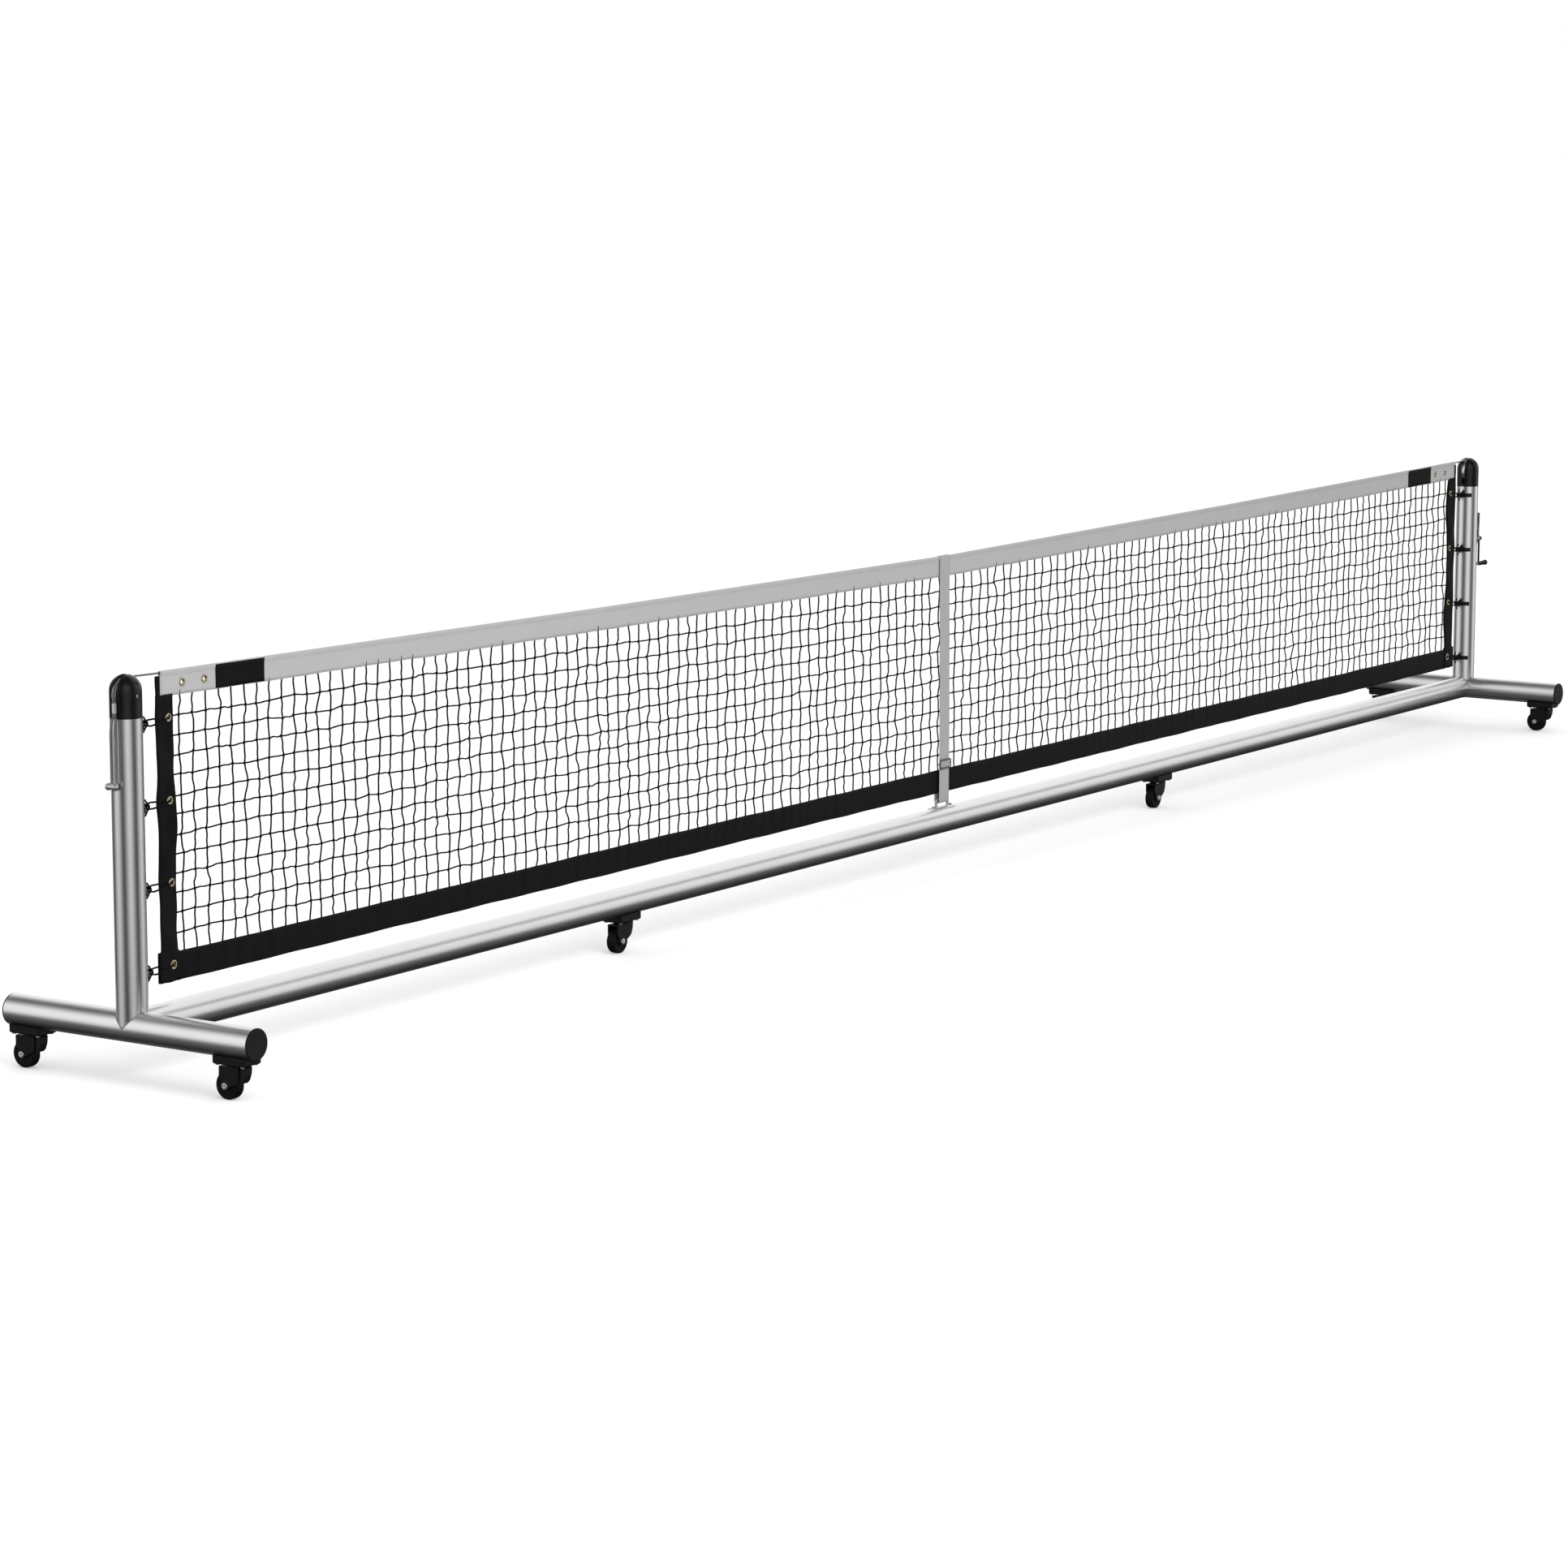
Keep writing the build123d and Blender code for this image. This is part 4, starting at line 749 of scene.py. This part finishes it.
def make_stitches(grey_thread, black_thread):
    """Rows of thread on both faces of the tapes."""
    head = Soup()
    for x in np.arange(-HEADBAND_END + 0.006, HEADBAND_END - 0.006, STITCH_PITCH):
        for drop, y in ((0.0125, 0.00245), (0.0535, 0.00235)):
            low = min(1.0, drop / HEADBAND_H)
            z = net_top(x) - drop + headband_lift(x, low)
            for face in (-1, 1):
                level_dash(head, x, face * y + headband_belly(x, low), z)
    ride(head.object("headband_stitches", grey_thread), "frame", "headband_vinyl")

    black = Soup()
    edge = POST_X - 0.150
    for x in np.arange(-edge + 0.004, edge - 0.004, STITCH_PITCH):
        for z, up in ((BOTTOM_LOW + 0.005, 0.08), (BOTTOM_HIGH - 0.005, 0.92)):
            for face in (-1, 1):
                level_dash(black, x, face * 0.0024 + bottom_wave(x, up), z + bottom_lift(x))
    for side in (-1, 1):
        for z in np.arange(BOTTOM_LOW + 0.076, 0.85, STITCH_PITCH):
            outer, inner = side_edges(z)
            for s in (0.08, 0.92):
                x = side * (POST_X - (inner + (outer - inner) * s))
                for face in (-1, 1):
                    upright_dash(black, x, face * 0.0023 + side_wave(z, s), z)
        for face in (-1, 1):
            pad_y = face * 0.0037
            for u in np.arange(0.004, 0.058, STITCH_PITCH):
                for z in (BOTTOM_LOW + 0.0045, BOTTOM_LOW + CORNER_H - 0.003):
                    level_dash(black, side * (POST_X - CORNER_REACH - u), pad_y, z, -side)
                for reach in (CORNER_REACH + 0.003, CORNER_REACH + CORNER_W - 0.003):
                    upright_dash(black, side * (POST_X - reach), pad_y, BOTTOM_LOW + u + 0.004)
            for s in np.arange(0.003, 0.165, STITCH_PITCH):
                x = side * (POST_X - PATCH_REACH - s)
                for drop in (0.0535, 0.016):
                    level_dash(black, x, face * 0.0040 + patch_wave(x), net_top(x) - drop, -side)
    ride(black.object("tape_stitches", black_thread), "frame", "black_vinyl")


def make_grommets(mat):
    """Rolled brass eyelets: a lip on each face and a barrel through the tape."""
    spots = []
    for side in (-1, 1):
        spots += [(x, z, 1.0, 0.0) for x, z in head_grommets(side)]
        for z in TIE_Z:
            at_corner = z == TIE_Z[0]  # where the tape is doubled, the eyelet is larger
            wide, deep = (1.12, 0.0010) if at_corner else (1.0, 0.0)
            spots.append((side * (POST_X - SIDE_GROMMET_REACH), z, wide, deep))
    half = [
        (0.0018, 10.0), (0.0026, 9.9), (0.0033, 9.2), (0.0037, 8.1),
        (0.0036, 7.0), (0.0029, 6.0), (0.0016, 5.5),
    ]
    soup = Soup()
    for x, z, wide, deep in spots:
        front = [(-(a + deep), r * wide / 1000) for a, r in half]
        back = [(a + deep, r * wide / 1000) for a, r in reversed(half)]
        soup.lathe((x, 0, z), (0, 1, 0), front + back, 36, closed=True)
    ride(soup.object("grommets", mat), "frame", "grommet_brass", "band_grommets")


# ---------------------------------------------------------------- ties, strap, welds
def make_ties(mat):
    """Elastic cord: loops through the grommet and round the eye, wraps where they meet, a bow, two tails."""
    soup = Soup()

    def put(points, side, z, closed=False, radius=0.0022):
        """points are (reach, y, z) in millimetres from the grommet's height; the cord falls to the eye."""
        line = smooth_line(np.array(points) / 1000, 6, closed)
        line[:, 2] -= EYE_DROP[side] * (0.1345 - line[:, 0]) / 0.083
        line[:, 0] = side * (POST_X - line[:, 0])
        line[:, 1] *= -side
        line[:, 2] += z
        soup.tube(line, radius, 8, closed)

    for side in (-1, 1):
        for n, z in enumerate(TIE_Z):
            d = (n * 37 % 5 - 2) * 0.5  # makes each one a little different
            put([
                (66, 2.5, 4), (78, 4.8, 5.5 + d), (104, 5.2, 3), (128, 5.2, 1), (137, 3.5, 0), (139.5, 0, 0),
                (137, -3.5, -1), (128, -5.2, -2), (104, -5.2, -5), (78, -4.8, -7 + d), (66, -2.5, -5),
            ], side, z)
            put([
                (66, 2.5, 4), (60, 4.6, 6), (54, 4.4, 1), (48.6, 2.5, 0), (46.6, 0, 0), (48.6, -2.5, 0),
                (54, -4.4, -1), (60, -4.6, -6), (66, -2.5, -5),
            ], side, z)
            angles = [k / 14 * 3.4 * math.pi for k in range(15)]
            wrap = [
                (64.5 + 0.45 * k - 3.0, 3.4 * math.cos(a), 6.0 * math.sin(a)) for k, a in enumerate(angles)
            ]
            put(wrap, side, z, radius=0.0019)
            put([(62, -2.4, 3), (58, -5, 9 + d), (52, -6.8, 15), (48.5, -6.5, 19 + d)], side, z)
            put([(62, -2.4, -3), (57, -5, -9), (51.5, -6.0, -14 - d), (49.5, -5.4, -18)], side, z)
            put([
                (62, 2.4, 2), (60, 6, 9), (55, 8.5, 15 + d), (49, 7.5, 18), (45.5, 5.5, 13), (48, 4.0, 7),
                (56, 3.4, 4), (63, 1.5, 1),
            ], side, z)
    ride(soup.object("tie_loops", mat), "frame", "tie_black", "tie_cords")


def make_strap(mat, thread):
    """Webbing over the headband, down the front, round the anchor's rod and a little way back up."""
    near, far = 0.0054, 0.00725  # its distance from the net's plane at the headband and at the rod
    top, low = NET_TOP_MID - 0.0039, 0.188
    half_turn = np.linspace(0, math.pi, 11)
    path = [(near, 0.829), (near, 0.842), (near, 0.86)]
    path += [(near * math.cos(a), top + near * math.sin(a)) for a in half_turn]
    for z in np.linspace(top - 0.02, low + 0.02, 46):
        out = near + (far - near) * min(1.0, max(0.0, (0.76 - z) / 0.12))
        path.append((-out + 0.0004 * math.sin(z * 13.0), z))
    path += [(-far * math.cos(a), low - far * math.sin(a)) for a in half_turn]
    path += [(far, 0.205), (far, 0.222), (far + 0.0006, 0.240)]
    width, across = 0.050, 13
    points = np.zeros((across, len(path), 3))
    for j, (y, z) in enumerate(path):
        aside = 0.010 * max(0.0, (j - len(path) + 9) / 9) * 0.4  # the loose end leans to one side
        for i in range(across):
            s = i / (across - 1) * 2 - 1
            cup = 0.0004 * (1 - s * s)
            points[i, j] = (s * width / 2 - aside, y + (cup if y > 0 else -cup), z)
    obj = cloth("centre_webbing", points, mat, 0.0018)
    ride(obj, "frame", "strap_web", "centre_strap")
    soup = Soup()
    for z, reach in ((0.862, 0.0067), (0.836, 0.0067), (0.225, 0.0086), (0.207, 0.0086)):
        for x in np.arange(-0.021, 0.019, 0.0055):
            for y in (-reach, reach):
                stitch = [(x, y, z), (x + 0.0018, y * 1.03, z), (x + 0.0036, y, z)]
                soup.tube(stitch, [0.0002, 0.0004, 0.0002], 4)
    ride(soup.object("strap_stitches", thread), "frame", "strap_web")


def make_buckle(mat):
    """A bent-wire slide: a rounded frame in front of the strap and a bar behind it."""
    cz, hx, hz, y = 0.292, 0.0277, 0.0118, -0.0112
    corner, ring = 0.004, []
    for x_way, z_way, start in ((1, 1, 0), (-1, 1, 90), (-1, -1, 180), (1, -1, 270)):
        for k in range(7):
            a = math.radians(start + 15 * k)
            x, z = x_way * (hx - corner), z_way * (hz - corner)
            ring.append((x + corner * math.cos(a), y, cz + z + corner * math.sin(a)))
    soup = Soup()
    soup.tube(ring, 0.0023, 12, closed=True)
    bar_y = -0.0042
    bar = [
        (-hx, y, cz), (-hx + 0.0004, -0.0075, cz), (-hx + 0.0012, -0.0046, cz), (-hx + 0.004, bar_y, cz),
        (0, bar_y, cz),
        (hx - 0.004, bar_y, cz), (hx - 0.0012, -0.0046, cz), (hx - 0.0004, -0.0075, cz), (hx, y, cz),
    ]
    soup.tube(bar, 0.0013, 10)
    ride(soup.object("buckle_wire", mat), "strap_buckle", "zinc", "strap_buckle")


def make_welds(mat):
    """Rippled beads where the tubes meet: post on foot, crossbar on post and foot."""
    soup = Soup()
    turn = np.linspace(0, 2 * math.pi, 121)[:-1]
    arc = np.linspace(-math.pi / 2, math.pi / 2, 61)
    r = TUBE_R + 0.0002
    bead, ripple, ripples = 0.0013, 0.0003, 60
    for side in (-1, 1):
        across, up = np.cos(turn), np.abs(np.sin(turn))
        line = np.stack([side * POST_X + r * across, r * np.sin(turn), TUBE_Z + r * up], 1)
        soup.tube(line, bead + ripple * np.sin(turn * ripples), 6, closed=True)
        sine, cosine = r * np.sin(arc), r * np.cos(arc)
        high = np.stack([side * (POST_X - cosine), sine, TUBE_Z + cosine], 1)
        low = np.stack([side * (POST_X - np.abs(sine)), sine, TUBE_Z - cosine], 1)
        for part in (high, low):
            soup.tube(part, bead + ripple * np.sin(arc * ripples), 6)
    ride(soup.object("weld_beads", mat), "frame", "tube_metal")


# ---------------------------------------------------------------- casters and small metal
# x and y of the swivel's axis, and the way the wheel trails in degrees from +X
CASTERS = {
    "front_left": (-3.44, -0.299, 90), "rear_left": (-3.44, 0.299, 90), "mid_left": (-1.566, 0.0, 180),
    "mid_right": (1.261, 0.0, 180), "front_right": (3.44, -0.299, 90), "rear_right": (3.44, 0.299, 90),
}
CASTER_TRAIL, WHEEL_R = 0.020, 0.03175


def make_axle_caps(mat):
    """Domed caps over the ends of each caster's axle, with a dimple."""
    dome = [
        (0.0166, 7.9), (0.0178, 8.1), (0.0195, 8.0), (0.0206, 7.2),
        (0.0212, 6.0), (0.0213, 4.0), (0.0209, 2.2), (0.0206, 0.8),
    ]
    for name, (x, y, heading) in CASTERS.items():
        a = math.radians(heading)
        along = np.array([math.cos(a), math.sin(a), 0])
        across = np.array([-math.sin(a), math.cos(a), 0])
        centre = np.array([x, y, 0]) + CASTER_TRAIL * along + np.array([0, 0, WHEEL_R])
        soup = Soup()
        for side in (-1, 1):
            soup.lathe(centre, side * across, [(d, r / 1000) for d, r in dome], 28)
        ride(soup.object(f"axle_caps_{name}", mat), f"fork_{name}", "zinc")


def assign(mat, *names):
    for name in names:
        data = NODES[name].data
        data.materials.clear()
        data.materials.append(mat)


def soften(name):
    """Smooth shading over the round faces of a CAD node."""
    obj = NODES[name]
    obj.data.polygons.foreach_set("use_smooth", [True] * len(obj.data.polygons))
    split = obj.modifiers.new("edges", "EDGE_SPLIT")
    split.split_angle = math.radians(35.0)


# ---------------------------------------------------------------- build
make_camera()
make_world()
make_stage()
bpy.context.scene.view_settings.view_transform = "Standard"

tube_x = material("tube_metal_x", brushed("X", 0.9, 0.27, 0.37))
tube_y = material("tube_metal_y", brushed("Y", 0.9, 0.27, 0.37))
# the posts' copy of the tube metal is painted lighter (0.94 against 0.9): painted light, where the posts
# stand brighter
tube_z = material("tube_metal_z", brushed("Z", 0.94, 0.17, 0.26))
weld = material("weld", metal(0.55, 0.42, grain=500.0))
buckle_dark = material("buckle_dark", metal(0.2, 0.35))
zinc = material("zinc", metal(0.62, 0.34))
bright = material("bright_zinc", metal(0.8, 0.3))
cap_black = material("cap_black", moulded(0.0035, 0.2, 500.0, 0.00002, shine=0.38))
plug_black = material("plug_black", moulded(0.007, 0.5, 900.0, 0.00012))
fork_black = material("fork_black", moulded(0.004, 0.36, 800.0, 0.00010, shine=0.18))
wheel_black = material("wheel_black", moulded(0.0035, 0.5, 1200.0, 0.00010, shine=0.14))
pedal_black = material("pedal_black", moulded(0.0055, 0.36, 900.0, 0.00008))
grip_black = material("grip_black", moulded(0.006, 0.5, 1500.0, 0.00012))
eye_black = material("eye_black", moulded(0.006, 0.42, 900.0, 0.00008))
winch_grey = material("winch_grey", metal(0.5, 0.42, COOL_METAL, 260.0))
axle_cap = material("axle_cap", metal(0.74, 0.42))
hook_light = material("hook_light", metal(0.95, 0.4))
sheave_left = material("sheave_left", turned(-POST_X, PULLEY_Z))
sheave_right = material("sheave_right", turned(POST_X, PULLEY_Z))
cable_steel = material("cable_steel", wire_rope)
brass = material("brass", metal(0.78, 0.28, (1.0, 0.86, 0.55), 300.0))
head_grey = material("head_grey", woven(
    0.41, 0.62, pitch=0.0012, depth=0.00010, tint=COOL_GREY, contrast=0.035, sheen=0.05,
))
# its strong tone contrast, drawn out in upright streaks, is painted shade of the tape's vertical creases
black_tape = material("black_tape", woven(
    0.0052, 0.55, pitch=0.0011, depth=0.00012, tint=COOL_BLACK, contrast=0.55, shine=0.1,
    streaks=(5.0, 2.0, 0.6),
))
patch_black = material("patch_black", woven(
    0.005, 0.58, pitch=0.0009, depth=0.00012, tint=COOL_BLACK, contrast=0.25, shine=0.12,
))
net_black = material("net_black", corded(0.0045, pitch=0.0024, rough=0.75))
tie_black = material("tie_black", corded(0.005, pitch=0.0016, rough=0.6))
strap_grey = material("strap_grey", woven(
    0.36, 0.66, pitch=0.0018, depth=0.00025, tint=COOL_GREY, contrast=0.05, cross=0.5, sheen=0.05,
))
thread_grey = material("thread_grey", corded(0.44, pitch=0.0008, rough=0.7))
thread_black = material("thread_black", corded(0.014, pitch=0.0008, rough=0.6))

assign(tube_x, "crossbar_left", "crossbar_right", "crossbar_sleeve")
assign(tube_y, "foot_tube_left", "foot_tube_right")
assign(tube_z, "post_left", "post_right")
assign(cap_black, "post_cap_left", "post_cap_right")
assign(plug_black, "foot_end_caps")
assign(zinc, "frame_screws", "pulley_pins", "caster_bolts")
assign(zinc, "winch_bolts", "winch_shaft", "crank_nut", "grip_pin")
assign(bright, "strap_anchor", "cable_ferrule")
assign(hook_light, "headline_hook")
assign(sheave_left, "pulley_left")
assign(sheave_right, "pulley_right")
assign(cable_steel, "headline_cable", "drum_cable")
assign(eye_black, "lacing_eyes", "crank_arm")
assign(winch_grey, "winch_frame", "winch_drum", "ratchet_wheel", "pawl")
assign(grip_black, "crank_grip")
assign(fork_black, "caster_brackets", *[f"caster_fork_{n}" for n in CASTERS])
assign(wheel_black, *[f"caster_wheel_{n}" for n in CASTERS])
assign(pedal_black, *[f"brake_pedal_{n}" for n in CASTERS])
for node in NODES:
    soften(node)

make_mesh(net_black)
make_headband(head_grey)
make_bottom_band(black_tape)
make_side_bands(black_tape)
make_patches(patch_black)
make_grommets(brass)
make_stitches(thread_grey, thread_black)
make_ties(tie_black)
make_strap(strap_grey, thread_grey)
make_buckle(buckle_dark)
make_welds(weld)
make_axle_caps(axle_cap)
